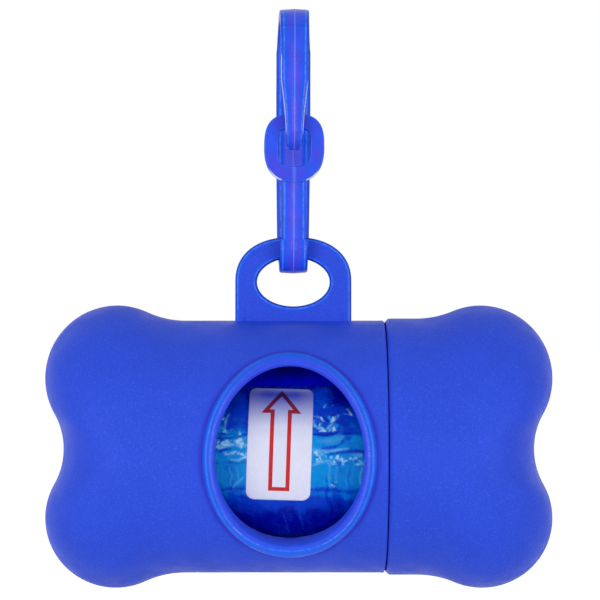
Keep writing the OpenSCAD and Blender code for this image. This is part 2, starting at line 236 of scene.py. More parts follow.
class Patchwork:
    """Collects grids of points that share their borders and welds them into one mesh."""

    WELD = 1e-6
    SHARP = np.radians(42)      # edges that turn further than this are shaded sharp

    def __init__(self):
        self.points, self.faces, self.paints = [], [], []
        self.marks = {}
        self.count = 0

    def grid(self, rows, closed=False, paint=0, **marks):
        """Faces between each row of points and the next; closed joins each row's two ends.

        paint is the faces' material, and marks are named values for the points, row by row.
        """
        rows = np.array(rows)
        lines, width = rows.shape[:2]
        ids = self.count + np.arange(lines * width).reshape(lines, width)
        here, there = ids, np.roll(ids, -1, axis=1)
        if not closed:
            here, there = ids[:, :-1], ids[:, 1:]
        quads = np.stack([here[:-1], there[:-1], there[1:], here[1:]], axis=-1).reshape(-1, 4)
        self.points.append(rows.reshape(-1, 3))
        self.faces.append(quads)
        self.paints.append(np.full(len(quads), paint))
        for name, values in marks.items():
            before = self.marks.setdefault(name, [])
            missing = self.count - sum(map(len, before))
            before += [np.zeros(missing), np.array(values, dtype=float).reshape(-1)]
        self.count += lines * width

    def mesh(self, name, materials, bend=None):
        """Makes an object of the welded faces; bend changes its array of points first."""
        data = bpy.data.meshes.new(name)
        points = np.concatenate(self.points)
        if bend is not None:
            points = bend(points)
        data.from_pydata(points.tolist(), [], np.concatenate(self.faces).tolist())
        data.polygons.foreach_set("material_index", np.concatenate(self.paints))
        for mark, values in self.marks.items():
            values = np.concatenate(values)
            values = np.pad(values, (0, self.count - len(values)))
            data.attributes.new(mark, "FLOAT", "POINT").data.foreach_set("value", values)
        shaped = bmesh.new()
        shaped.from_mesh(data)
        bmesh.ops.remove_doubles(shaped, verts=shaped.verts, dist=self.WELD)
        bmesh.ops.dissolve_degenerate(shaped, edges=shaped.edges, dist=self.WELD)
        bmesh.ops.recalc_face_normals(shaped, faces=shaped.faces)
        shaped.to_mesh(data)
        shaped.free()
        data.shade_smooth()
        data.set_sharp_from_angle(angle=self.SHARP)
        for material in materials:
            data.materials.append(material)
        return put(name, data)


def arc(centre, radius, start, end, steps):
    """Points of an arc in a plane, whose start and end are angles in degrees."""
    a = np.radians(np.linspace(start, end, steps + 1))
    return np.stack([centre[0] + radius * np.cos(a), centre[1] + radius * np.sin(a)], axis=1)


def full_turn(steps):
    """Evenly spaced angles all the way round, in radians."""
    return np.linspace(0, 2 * np.pi, steps, endpoint=False)


def signed_power(value, power):
    """A power that keeps the value's sign."""
    return np.sign(value) * np.abs(value) ** power


def superellipse(angles, width, height, power):
    """Points of a superellipse at the given angles, in radians."""
    x = width / 2 * signed_power(np.cos(angles), 2 / power)
    z = height / 2 * signed_power(np.sin(angles), 2 / power)
    return np.stack([x, z], axis=1)


def two_halves(angles, width, heights, powers):
    """A loop whose upper and lower half are superellipses of those two heights and powers."""
    top, foot = (superellipse(angles, width, *shape) for shape in zip(heights, powers))
    return np.where(angles[:, None] <= np.pi, top, foot)


def about_axis(x, turn, radius, height=None):
    """Points about the X axis, turned up from the front; height makes the round an ellipse."""
    height = radius if height is None else height
    return np.stack([x + 0 * turn, -radius * np.cos(turn), height * np.sin(turn)], axis=-1)


def on_bone(points):
    """Moves points from the bone's own centre to its place under the hook."""
    return points + np.array([BONE_X, 0.0, BONE_Z])


def smooth_step(t):
    """Eases from 0 to 1 as t goes from 0 to 1."""
    t = np.clip(t, 0.0, 1.0)
    return t * t * (3 - 2 * t)


def filled(loop, most):
    """A closed loop with points added so that none are further apart than most."""
    made = []
    for p, q in zip(loop, np.roll(loop, -1, axis=0)):
        count = max(1, int(np.ceil(np.linalg.norm(q - p) / most)))
        made += [p + (q - p) * k / count for k in range(count)]
    return np.array(made)


def loop_normals(loop):
    """Outward directions at the points of a flat loop that runs anticlockwise."""
    run = np.roll(loop, -1, axis=0) - np.roll(loop, 1, axis=0)
    run /= np.linalg.norm(run, axis=1)[:, None]
    return np.stack([run[:, 1], -run[:, 0]], axis=1)


# ---- skin of the bone -----------------------------------------------------

HALF_RING = 72          # steps over half of a ring round the bone
WAIST_STEPS = 14
LOBE_STEPS = 64
SADDLE_STEPS = 14
DOME_STEPS = 12
POLE = 1e-7             # least radius of a ring, in metres
END_FULLNESS = 0.5      # fullness of the ends seen from above, added to a circle's 2


class EndShape:
    """The outline of one end of the bone for a round middle of the given radius.

    The waist's arc leads from the middle into the lobe, and the saddle's arc lies between the
    lobes and touches both.
    """

    def __init__(self, case, radius):
        self.radius = radius
        lobe, waist = case.lobe_radius, case.waist_radius
        centre = (HALF_LENGTH - lobe, case.tube_radius + case.lobe_rise - lobe)
        reach = HALF_LENGTH - case.saddle_depth - centre[0]
        saddle = (reach**2 + centre[1] ** 2 - lobe**2) / (2 * (lobe - reach))
        saddle_turn = np.degrees(np.arctan2(-centre[1], reach + saddle))
        rise = radius + waist - centre[1]
        waist_x = centre[0] - np.sqrt((waist + lobe) ** 2 - rise**2)
        waist_turn = np.degrees(np.arctan2(centre[1] - (radius + waist), centre[0] - waist_x))
        self.waist = arc((waist_x, radius + waist), waist, -90, waist_turn, WAIST_STEPS)
        saddle_centre = (centre[0] + reach + saddle, 0.0)
        self.half = np.concatenate([
            arc(centre, lobe, waist_turn + 180, saddle_turn, LOBE_STEPS),
            arc(saddle_centre, saddle, 180 + saddle_turn, 180, SADDLE_STEPS)[1:],
        ])

    def rings(self):
        """Rings from the straight middle to the lobes' root."""
        return [ring(x, height, self.radius) for x, height in self.waist]

    def meridians(self):
        """Half rings from the front pole to the back pole, over the upper lobe and the lower."""
        outline = np.concatenate([self.half, self.half[-2::-1] * [1, -1]])
        pole_x = self.half[0][0]
        a = np.linspace(0, np.pi, HALF_RING + 1)
        rows = []
        for i, p in enumerate(outline):
            share = (1 - np.cos(2 * np.pi * i / (len(outline) - 1))) / 2
            power = 2 + END_FULLNESS * share
            out = np.abs(np.sin(a)) ** (2 / power)
            back = -signed_power(np.cos(a), 2 / power)
            x = pole_x + (p[0] - pole_x) * out
            rows.append(np.stack([x, self.radius * back, p[1] * out], axis=1))
        return rows


def ring(x, height, depth=None):
    """A ring round the bone's axis, from the front over the top."""
    return about_axis(x, full_turn(2 * HALF_RING), height if depth is None else depth, height)


def back_ring(x, radius):
    """Half a ring over the bone's back, from above to below."""
    return about_axis(x, np.linspace(-np.pi / 2, np.pi / 2, HALF_RING + 1) + np.pi, radius)


def chamber_dome(case, side):
    """Rings of the chamber's domed end; side is 1 for the cap's and -1 for the shell's."""
    rise = case.chamber_end - case.chamber_straight
    bulge = (case.chamber_radius**2 + rise**2) / (2 * rise)
    opening = np.arcsin(case.chamber_radius / bulge)
    return [
        ring(side * (case.chamber_end - bulge * (1 - np.cos(a))), max(bulge * np.sin(a), POLE))
        for a in np.linspace(opening, 0.0, DOME_STEPS + 1)
    ]


OUTLET_COLUMNS = 30
SPREAD_STEPS = 9        # rows of the grid from the rim's foot out to its border
SPREAD_EASE = 1.2       # their spacing grows with this power
WALL_MARK = -0.5        # value of the mark across on the outlet's wall
WALL_STEPS = (0.0, 0.06, 0.3, 0.55, 0.8, 1.0)       # shares of the wall, from outside in
RIM_SECTION = (         # share of the rim's width from the outlet's edge, share of its height
    (0.0, 0.0), (0.0, 0.5), (0.02, 0.64), (0.06, 0.76), (0.12, 0.86), (0.2, 0.94), (0.29, 0.985),
    (0.38, 1.0), (0.5, 0.985), (0.62, 0.93), (0.74, 0.84), (0.84, 0.71), (0.92, 0.55),
    (0.975, 0.36), (1.02, 0.18), (1.06, 0.07), (1.11, 0.02), (1.18, 0.0), (1.35, 0.0), (1.6, 0.0),
)


def outlet_patch(case, radius, left, right, section, draft=0.0):
    """Rows of points round the outlet on a cylinder, out to a border that the next grids share.

    The outlet's foot can be raised by a draft.
    """
    columns = np.linspace(left, right, OUTLET_COLUMNS + 1)
    turns = np.linspace(-np.pi / 2, np.pi / 2, HALF_RING + 1)
    border = np.concatenate([
        [(right, t) for t in turns[:-1]],
        [(x, turns[-1]) for x in columns[:0:-1]],
        [(left, t) for t in turns[:0:-1]],
        [(x, turns[0]) for x in columns[:-1]],
    ])
    centre = case.outlet_offset
    side = np.where(border[:, 0] > centre, right - centre, centre - left)
    around = np.arctan2(border[:, 1] / (np.pi / 2), (border[:, 0] - centre) / side)

    def oval(share):
        """(x, angle) of the outlet's edge, widened by a share of the rim's width."""
        margin = share * case.rim_width
        x = centre + (case.outlet_width / 2 + margin) * np.cos(around)
        z = case.outlet_rise + (case.outlet_height / 2 + margin) * np.sin(around)
        z += draft * np.maximum(-np.sin(around), 0) ** 4
        return np.stack([x, np.arcsin(z / radius)], axis=1)

    rows = [
        about_axis(*oval(share).T, radius + height * case.rim_height) for share, height in section
    ]
    last = oval(section[-1][0])
    for k in range(1, SPREAD_STEPS + 1):
        t = (k / SPREAD_STEPS) ** SPREAD_EASE
        rows.append(about_axis(*(last + (border - last) * t).T, radius))
    return rows


TUBE_LEFT = -17 * MM        # the grids round the outlet start here
TUBE_REST = 0.8 * MM        # and stop this far from the seam
LIP = 0.3 * MM              # rounding of the shell's rim at the seam
LIP_RISE = 0.03 * MM        # how far the lip stands out
LIP_RAMP = 0.45 * MM        # the lip is fully out this far from the seam
NICK = 0.15 * MM            # small bevels where they don't show
NECK_BEVEL = 0.4 * MM
SOCKET_BEVEL = 0.3 * MM
SOCKET_ROOM = 0.5 * MM      # from the neck's end to the cap's shoulder
CAP_EDGE = (                # rim of the cap in mm: in from its face, and below its radius
    (0.0, 0.7), (0.04, 0.58), (0.14, 0.44), (0.44, 0.14), (0.58, 0.04), (0.72, 0.0), (1.2, 0.0),
    (2.5, 0.0),
)


def build_shell(case):
    """Left end and middle of the bone, its neck, its chamber and the outlet's raised rim.

    The outlet's points get the marks across, which is the share of RIM_SECTION or WALL_MARK,
    flank, which is 1 at its two sides, and below, which is 1 at its foot.
    """
    shape = EndShape(case, case.tube_radius)
    left, right = TUBE_LEFT, case.seam - TUBE_REST
    mirror = np.array([-1.0, 1.0, 1.0])
    columns = np.linspace(left, right, OUTLET_COLUMNS + 1)
    work = Patchwork()
    work.grid([m * mirror for m in shape.meridians()])
    work.grid([ring(left, case.tube_radius)] + [r * mirror for r in shape.rings()], closed=True)
    work.grid([back_ring(x, case.tube_radius) for x in columns])

    outer = outlet_patch(case, case.tube_radius, left, right, RIM_SECTION)
    inner = outlet_patch(case, case.chamber_radius, left, right, ((0.0, 0.0),), case.outlet_draft)
    foot, width = len(RIM_SECTION) - 1, len(outer[0])
    level = outer[0][:, 2] / (case.outlet_height / 2)
    flank, below = 1 - level**2, np.maximum(-level, 0) ** 3

    def marks(shares):
        across = [np.full(width, share) for share in shares]
        return {"across": across, "below": [below] * len(shares)}

    rim_marks = marks([share for share, _ in RIM_SECTION])
    work.grid(outer[:foot + 1], closed=True, paint=1, flank=[flank] * (foot + 1), **rim_marks)
    spread = outer[foot:]
    work.grid(spread, closed=True, across=np.full((len(spread), width), RIM_SECTION[-1][0]))

    crown = case.tube_radius + LIP_RISE
    neck_end = case.seam + case.neck_length
    profile = [(right, case.tube_radius), (case.seam - LIP_RAMP, crown)]
    profile += list(arc((case.seam - LIP, crown - LIP), LIP, 90, 0, 5))
    profile += [
        (case.seam, case.neck_radius + NICK),
        (case.seam + NICK, case.neck_radius),
        (neck_end - NECK_BEVEL, case.neck_radius),
        (neck_end, case.neck_radius - NECK_BEVEL),
        (neck_end, case.chamber_radius + NICK),
        (neck_end - NICK, case.chamber_radius),
        (right, case.chamber_radius),
    ]
    work.grid([ring(x, r) for x, r in profile], closed=True)

    work.grid([back_ring(x, case.chamber_radius) for x in columns])
    work.grid(inner, closed=True)
    wall = [outer[0] + (inner[0] - outer[0]) * t for t in WALL_STEPS]
    work.grid(wall, closed=True, paint=1, **marks([0.0] + [WALL_MARK] * (len(wall) - 1)))
    work.grid([ring(left, case.chamber_radius)] + chamber_dome(case, -1), closed=True)
    shell = work.mesh("shell_moulding", [case_plastic(), rim_plastic()], on_bone)
    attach(shell, "shell")
    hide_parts("main_shell")


def build_cap(case):
    """Right end of the bone with its chamfered rim, its socket and its half of the chamber."""
    radius = case.tube_radius + case.cap_step
    shape = EndShape(case, radius)
    start = case.seam + case.seam_gap
    socket = case.neck_radius + case.neck_fit
    shoulder = case.seam + case.neck_length + SOCKET_ROOM
    profile = [
        (case.chamber_straight, case.chamber_radius),
        (shoulder + NICK, case.chamber_radius),
        (shoulder, case.chamber_radius + NICK),
        (shoulder, socket),
        (start + SOCKET_BEVEL, socket),
        (start, socket + SOCKET_BEVEL),
    ]
    profile += [(start + along * MM, radius - down * MM) for along, down in CAP_EDGE]
    work = Patchwork()
    work.grid(shape.meridians())
    work.grid([ring(x, r) for x, r in profile] + shape.rings(), closed=True)
    work.grid(chamber_dome(case, 1), closed=True)
    cap = work.mesh("cap_moulding", [case_plastic()], on_bone)
    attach(cap, "cap")
    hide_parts("end_cap")


# ---- flat eyes: the tab and the catch ring --------------------------------

RIM_MARGIN = 2.2        # width of the band beside an edge's rounding, in roundings from the edge
RIM_START = 0.66        # value of the mark rim where the rounding starts
CORNER_STEPS = 5
FLAT_STEPS = 4


def eye_plate(work, inner, outer, thickness, rounding, gleam=0.0, seam=0.0):
    """Adds a plate with a hole and rounded edges: inner and outer are matching loops in XZ.

    Its points get the mark rim, from 0 on the flat faces to 1 on the edges, and the marks
    gleam, a painted highlight on the outer edge, and seam, each with a value for each
    point of the loop.
    """
    turns = np.linspace(0, np.pi / 2, CORNER_STEPS + 1)
    near = rounding * (1 - np.sin(turns))
    deep = thickness / 2 - rounding * (1 - np.cos(turns))
    rise = RIM_START + (1 - RIM_START) * (1 - near / rounding)
    into, back_in = loop_normals(inner), -loop_normals(outer)
    hole_side = inner + RIM_MARGIN * rounding * into
    edge_side = outer + RIM_MARGIN * rounding * back_in
    half = [(inner + n * into, d, r) for n, d, r in zip(near, deep, rise)][::-1]
    half += [
        (hole_side + (edge_side - hole_side) * t, thickness / 2, 0.0)
        for t in np.linspace(0, 1, FLAT_STEPS + 1)
    ]
    edge_start = len(half) + 1
    half += [(outer + n * back_in, d, r) for n, d, r in zip(near, deep, rise)]
    section = [(flat, -y, rim) for flat, y, rim in half] + half[::-1]
    section.append((half[0][0], -half[0][1], 1.0))
    rows = [np.insert(flat, 1, y, axis=1) for flat, y, _ in section]
    blank = np.zeros((len(rows), len(inner)))
    gleams = blank.copy()
    gleams[edge_start:len(half) - 1] = gleam
    rims = [blank[0] + rim for _, _, rim in section]
    work.grid(rows, closed=True, rim=rims, gleam=gleams, seam=blank + seam)


TAB_STEPS = 160
TAB_POWERS = (2.3, 14.0)    # of the superellipses of its top and its foot
TAB_SINK = 0.3 * MM         # the tab's foot stops this far over the chamber
TAB_FILLET = 0.3 * MM
FILLET_EASE = 2.5           # the fillet falls off with this power


def build_tab(case):
    """Tab on top of the shell, with its eye and a small fillet where it meets the round middle."""
    angles = full_turn(TAB_STEPS)
    eye = superellipse(angles, case.eye_width, case.eye_height, 2.0)
    foot = case.eye_level - case.chamber_radius - TAB_SINK
    outline = two_halves(angles, case.tab_width, (2 * case.tab_rise, 2 * foot), TAB_POWERS)
    work = Patchwork()
    eye_plate(work, eye, outline, case.tab_thickness, case.tab_round)

    def settle(points):
        placed = points + np.array([0.0, 0.0, case.eye_level])
        skin = np.sqrt(np.maximum(case.tube_radius**2 - placed[:, 1] ** 2, 0.0))
        near = np.clip(1 - (placed[:, 2] - skin) / TAB_FILLET, 0.0, 1.0)
        placed[:, 1] += np.sign(placed[:, 1]) * TAB_FILLET * near**FILLET_EASE
        return placed + np.array([0.0, 0.0, BONE_Z])

    tab = work.mesh("shell_tab", [case_plastic()], settle)
    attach(tab, "shell")


# ---- hook -----------------------------------------------------------------

DRAFT = 0.06            # slope of the strips' faces from the parting line to their sides
EDGE_ROUND = 0.3 * MM   # rounding of the strips' corners
FLASH = 0.04 * MM       # height of the parting line
FLASH_TOP = 0.05 * MM   # half its width at its top
FLASH_FOOT = 0.14 * MM  # and at its foot
HOOK_TURN = 0.024       # the hook hangs turned a little about Z, as a slope of x over y
HOOK_LEAN = 0.004       # and leans a little to the right, as a slope of x over z
RING_Y = -3.43 * MM     # middle of the catch ring's thickness
ARCH_SPLIT = 150        # angle on the arch, from the rear, where the gate's strip takes over
ARCH_FRONT = 180
ARCH_EASE = 0.7         # the arch narrows with this power of the angle
END_SHARE = 0.9         # size of the last ring of points on a strip's closed ends


def strip_section(width, thickness):
    """Section of a moulded strip: (across, out) points round it, highest on its parting line."""
    half = width / 2
    sides = thickness / 2 - DRAFT * half
    r = min(EDGE_ROUND, sides * 0.6)
    left = np.array([
        (-half, sides - r),
        (-half + r * 0.12, sides - r * 0.5),
        (-half + r * 0.5, sides - r * 0.12),
        (-half + r, sides),
        (-half + 1.6 * r, sides + DRAFT * 1.6 * r),
        (-half * 0.5, sides + DRAFT * half * 0.5),
        (-FLASH_FOOT, thickness / 2 - 0.01 * MM),
        (-FLASH_TOP, thickness / 2 + FLASH),
    ])
    upper = np.concatenate([left, left[::-1] * [-1, 1]])
    return np.concatenate([upper, -upper])


def nowhere(*place):
    """A mark that no point has."""
    return 0.0


def sweep_strip(name, path, gleam=nowhere, glow=nowhere):
    """Strip along a path of (y, z, width, thickness) in the YZ plane, closed at both ends.

    Its points get the marks rim, from 0 on the parting line to 1 on the sides, seam, which is 1
    on the parting line, gleam, a painted highlight on the corners of the outward face,
    from a function of a height and a side, -1 or 1, and glow, painted light from a
    function of a place (y, z) on the path.
    """
    path = np.array(path)
    tangent = np.gradient(path[:, :2], axis=0)
    tangent /= np.linalg.norm(tangent, axis=1)[:, None]
    rows, rims, seams, gleams, glows = [], [], [], [], []
    for (y, z, width, thickness), (along_y, along_z) in zip(path, tangent):
        across, outward = strip_section(width, thickness).T
        inset = width / 2 - np.abs(across)
        corner = (inset > 0.01 * MM) & (inset < 0.1 * MM) & (outward < 0)
        rows.append(np.stack([across, y - outward * along_z, z + outward * along_y], axis=1))
        rims.append(np.abs(across / (width / 2)))
        seams.append(np.abs(across) < FLASH_TOP + 0.01 * MM)
        gleams.append(gleam(z, np.sign(across)) * corner)
        glows.append(np.full(len(across), glow(y, z)))

    def capped(row):
        middle = row.mean(axis=0)
        return [np.repeat([middle], len(row), axis=0), middle + (row - middle) * END_SHARE]

    def ended(marks):
        return marks[:1] * 2 + marks + marks[-1:] * 2

    work = Patchwork()
    work.grid(
        capped(rows[0]) + rows + capped(rows[-1])[::-1], closed=True,
        rim=ended(rims), seam=ended(seams), gleam=ended(gleams), glow=ended(glows),
    )
    return work.mesh(name, [hook_plastic()], turned_hook)


def turned_hook(points):
    """Turns the hook's points a little about Z, and leans them about its bend."""
    turned = points.copy()
    turned[:, 0] += HOOK_LEAN * (points[:, 2] - BEND_Z) - HOOK_TURN * points[:, 1]
    return turned


def resampled(corners, step):
    """Points at an even step along a polyline of (y, z, width, thickness)."""
    corners = np.array(corners)
    run = np.concatenate([[0], np.cumsum(np.linalg.norm(np.diff(corners[:, :2], axis=0), axis=1))])
    at = np.linspace(0, run[-1], max(2, int(run[-1] / step)))
    return np.stack([np.interp(at, run, corners[:, k]) for k in range(4)], axis=1)


def rounded_corners(points, passes=4):
    """Eases the corners of an evenly resampled path, with its ends kept."""
    eased = points.copy()
    for _ in range(passes):
        eased[1:-1] = (eased[:-2] + 2 * eased[1:-1] + eased[2:]) / 4
    return eased


def arch_path(hook, start, end, steps):
    """Stretch of the arch, which narrows from the spine to the gate."""
    path = []
    turns = np.linspace(start, end, steps + 1)
    for turn, (y, z) in zip(turns, arc((0, 0), hook.arch_radius, start, end, steps)):
        share = (turn / ARCH_FRONT) ** ARCH_EASE
        width = hook.spine_width + (hook.gate_width - hook.spine_width) * share
        path.append((y, z, width, hook.strip))
    return path


SPINE_STRAIGHT = 2.8 * MM   # the spine runs straight down from the arch for this length
SPINE_STEP = 0.5 * MM       # between points of the spine
ARM_STEP = 0.25 * MM        # between points of the front arm and of the gate
BEND_EASE = 10              # points of the bend over which the spine's width goes over into its own
KNUCKLE = 1.15 * MM         # the bend keeps its width this far up the front arm
KNUCKLE_STEP = 0.12 * MM    # and is this much thicker than the arm
ARM_THIN = 0.05 * MM        # how much thinner than the bend the arm ends
RING_OVERLAP = 1.0 * MM     # the arm reaches this far over the ring's foot
RING_STEPS = 128
RING_ROUND = 0.22 * MM      # rounding of the ring's edges
RING_POWERS = (2.9, 2.4)    # of the superellipses of its upper and lower half
RING_FOOT = 0.34 * MM       # the lower superellipse is this much higher
HOLE_POWERS = (5.0, 3.4)
GLOW_MARGIN = 0.7 * MM      # the spine gets painted light this far past the ring's hole


def build_hook(hook):
    """Arch, spine, bend and front arm in one strip, and the catch ring."""
    mean = hook.arch_radius
    middle = (mean + hook.bend_radius) / 2
    spine = [
        (mean, 0.0, hook.spine_width, hook.strip),
        (mean, -SPINE_STRAIGHT, hook.spine_width, hook.strip),
        (middle, BEND_Z / 2, hook.spine_width, (hook.strip + hook.bend_strip) / 2),
        (hook.bend_radius, BEND_Z, hook.spine_foot, hook.bend_strip),
    ]
    path = arch_path(hook, ARCH_SPLIT, 0, 40)
    path += list(rounded_corners(resampled(spine, SPINE_STEP), 6)[1:])
    for k, (y, z) in enumerate(arc((0, BEND_Z), hook.bend_radius, 0, -180, 30)[1:]):
        share = smooth_step((k + 1) / BEND_EASE)
        width = hook.spine_foot + (hook.bend_width - hook.spine_foot) * share
        path.append((y, z, width, hook.bend_strip))
    front = -hook.bend_radius
    shoulder, ring_foot = BEND_Z + KNUCKLE, BEND_Z + hook.arm_length
    arm = [
        (front, BEND_Z, hook.bend_width, hook.bend_strip),
        (front, shoulder, hook.bend_width, hook.bend_strip),
        (front, shoulder + KNUCKLE_STEP, hook.arm_width, hook.bend_strip - KNUCKLE_STEP),
        (front, ring_foot + RING_OVERLAP, hook.arm_width, hook.bend_strip - ARM_THIN),
    ]
    path += list(resampled(arm, ARM_STEP)[1:])
    ring_z = ring_foot + hook.ring_height / 2

    def glow(y, z):
        """Painted light on the spine where it stands behind the ring's hole, in the ring's shade.
        """
        return (y > 0) * smooth_step((hook.hole_height / 2 + GLOW_MARGIN - abs(z - ring_z)) / MM)

    strip = sweep_strip("hook_strip", path, glow=glow)
    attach(strip, "hook")
    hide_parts("hook_frame")

    angles = full_turn(RING_STEPS)
    heights = (hook.ring_height, hook.ring_height + RING_FOOT)
    outer = two_halves(angles, hook.ring_width, heights, RING_POWERS)
    hole = two_halves(angles, hook.hole_width, (hook.hole_height, hook.hole_height), HOLE_POWERS)
    # painted highlight along the foot on both sides of the arm, with the parting line in its middle
    downward = smooth_step((-loop_normals(outer)[:, 1] - 0.45) / 0.3)
    gleam = downward * smooth_step((np.abs(outer[:, 0]) - 1.9 * MM) / (0.4 * MM))
    seam = 0.8 * (np.abs(angles - 1.5 * np.pi) < 0.01)
    work = Patchwork()
    eye_plate(work, hole, outer, hook.ring_strip, RING_ROUND, gleam, seam)
    centre = np.array([0.0, RING_Y, ring_z])
    catch = work.mesh("catch_ring", [hook_plastic()], lambda points: turned_hook(points + centre))
    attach(catch, "hook")


GATE_FORWARD = 0.03 * MM    # the gate stands this far in front of the arch
TONGUE = (                  # in mm: back from the gate's front, down, width over the tip's, and
    (0.0, -8.0, 1.2, 0.0),  # thickness less than the strip's
    (0.0, -11.2, 0.55, 0.05),
    (0.0, -13.9, 0.25, 0.1),
    (0.5, -15.1, 0.15, 0.3),
    (1.4, -15.95, 0.0, 0.6),
    (2.4, -16.25, -0.3, 0.9),
)
TIP_END = (-2.75 * MM, -16.3 * MM)
TIP_STRIP = 0.8 * MM        # thickness at the tip's end


def build_gate(hook):
    """Tongue from the arch down to the ring, whose tip turns back into the ring's hole."""
    mean = hook.arch_radius
    front = -mean - GATE_FORWARD
    tip = hook.tip_width
    tongue = [
        (-mean, 0.0, hook.gate_width, hook.strip),
        (front, -2 * MM, hook.gate_width, hook.strip),
        (front, -5.6 * MM, hook.gate_width, hook.strip),
    ]
    tongue += [
        (front + back * MM, z * MM, tip + wider * MM, hook.strip - thinner * MM)
        for back, z, wider, thinner in TONGUE
    ]
    tongue.append((*TIP_END, tip - 0.5 * MM, TIP_STRIP))
    path = arch_path(hook, ARCH_SPLIT, ARCH_FRONT, 14)
    path += list(rounded_corners(resampled(tongue, ARM_STEP))[1:])

    def gleam(height, side):
        """Painted highlights on the corners: the left one all the way, the right one lower down."""
        start = np.where(side < 0, -1.0, -5.5) * MM
        return smooth_step((start - height) / MM) * smooth_step((height + 14.5 * MM) / MM)

    gate = sweep_strip("hook_tongue", path, gleam)
    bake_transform(gate)
    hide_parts("hook_gate")


# ---- roll -----------------------------------------------------------------
# Places on the roll's skin are (x, v) in millimetres: x from the bone's centre, and v along
# the skin, up from the roll's front.


def roll_point(x, turn, radius):
    """Point on the roll: turn is measured up from its front, in radians."""
    return np.array([BONE_X, 0.0, ROLL_Z]) + about_axis(x, turn, radius)


LATTICE = 64            # cells after which a crumpled sheet repeats
SHEETS = ((1, 0.35), (0.5, -0.8), (0.25, 0.6))      # share of a crumple's size and height, lean


def lattice(x, v, size, lean):
    """Cells (i, j) of a leaning lattice, and the places (a, b) in them."""
    p, q = (x + lean * v) / size, (v - lean * x) / size
    i, j = np.floor(p).astype(int), np.floor(q).astype(int)
    return i, j, p - i, q - j


def facets(x, v, size, lean, seed):
    """Heights from 0 to 1 of a sheet of flat triangles, like those of crumpled film."""
    heights = np.random.default_rng(seed).random((LATTICE, LATTICE))
    i, j, a, b = lattice(x, v, size, lean)
    corners = ((0, 0), (1, 0), (0, 1), (1, 1))
    here, ahead, up, across = (heights[(i + k) % LATTICE, (j + m) % LATTICE] for k, m in corners)
    near = here + a * (ahead - here) + b * (up - here)
    far = across + (1 - a) * (up - across) + (1 - b) * (ahead - across)
    return np.where(a + b < 1, near, far)


def warped(x, v, size, seed):
    """Places shifted so that a lattice of the size runs unevenly on them."""
    return (
        x + size * facets(x, v, 2.3 * size, 0.4, seed),
        v + size * facets(x, v, 2.3 * size, -0.7, seed + 1),
    )


def crumple(x, v, size, seed):
    """Facets of three sizes on a warped lattice, about 0 on average."""
    x, v = warped(x, v, size, seed)
    sheet = 0.0
    for k, (part, lean) in enumerate(SHEETS):
        sheet = sheet + part * (facets(x, v, part * size, lean, seed + 2 + k) - 0.5)
    return sheet


def shards(x, v, size, seed):
    """Shade from 0 to 1 of each flat facet of the crumple of that size and seed."""
    x, v = warped(x, v, size, seed)
    shades = np.random.default_rng(seed + 9).random((LATTICE, LATTICE, 2))
    total = 0.0
    for (part, lean), share in zip(SHEETS, (0.6, 0.4)):
        i, j, a, b = lattice(x, v, part * size, lean)
        total = total + share * shades[i % LATTICE, j % LATTICE, (a + b > 1).astype(int)]
    return total


def patch(x, v, left, right, low, high, edge):
    """1 inside a box on the roll's skin, fading to 0 over its edge."""
    across = smooth_step((x - left) / edge) * smooth_step((right - x) / edge)
    return across * smooth_step((v - low) / edge) * smooth_step((high - v) / edge)


def stroke(x, v, start, end, width):
    """1 on a line on the roll's skin, fading over its width, which narrows to its two ends."""
    run = np.subtract(end, start)
    share = np.clip(((x - start[0]) * run[0] + (v - start[1]) * run[1]) / (run @ run), 0, 1)
    gap = np.hypot(x - start[0] - share * run[0], v - start[1] - share * run[1])
    return np.exp(-((gap / width / (0.45 + 0.75 * np.sin(np.pi * share))) ** 2))


FLAP_EDGE = 13.2        # the loose end of the outermost bag stops here
FLAP_DEPTH = 0.3        # step down from it to the film below
FLAP_GAP = 20.0         # the lower film shows up to here
LOOSE_LOW = -5.9        # the loose fold of film lies from here
LOOSE_HIGH = 4.4        # to here
LOOSE_LIFT = 0.12       # how far it lies off the roll
FILM_TONES = (          # place up the skin and how loose the film lies there, from 0 to 1, with painted shade towards the outlet's top and foot
    (-49.5, 0.5), (-38, 0.8), (-31, 0.35), (-24, 0.75), (-18, 0.2), (-12, 0.05), (-9.3, 0.12),
    (-7.6, 0.3), (-6.5, 0.42), (-5.9, 0.66), (-5.2, 0.72), (-4.75, 0.5), (-4.2, 0.78), (-2.5, 0.86),
    (0.5, 0.9), (3.6, 0.86), (4.3, 0.72), (5.0, 0.56), (6.5, 0.48), (8.5, 0.36), (10.5, 0.22),
    (13.1, 0.14), (13.3, 0.0), (18, 0.15), (24, 0.7), (31, 0.4), (38, 0.85), (49.5, 0.5),
)
TONE_PATCHES = (        # left, right, low, high, edge and change of the tone
    (1.5, 5.2, 8.0, 13.0, 1.2, 0.22),
    (4.9, 13.0, 8.6, 13.0, 1.0, -0.16),
    (2.6, 5.2, 11.0, 13.1, 0.9, 0.16),
    (-13.6, -11.2, 4.2, 8.2, 0.9, 0.3),
    (-13.6, -11.6, -4.5, 1.5, 1.2, 0.1),
    (-13.6, -7.8, -0.3, 3.8, 0.6, 0.15),
    (-10.6, -8.0, 8.0, 12.5, 1.2, 0.1),
    (6.6, 9.8, 2.6, 4.4, 0.9, 0.12),
    (1.8, 4.4, -3.6, -0.4, 0.8, 0.14),
    (3.4, 6.2, -4.6, -2.2, 0.8, 0.1),
    (5.0, 11.0, -9.0, -5.5, 1.5, -0.1),
)
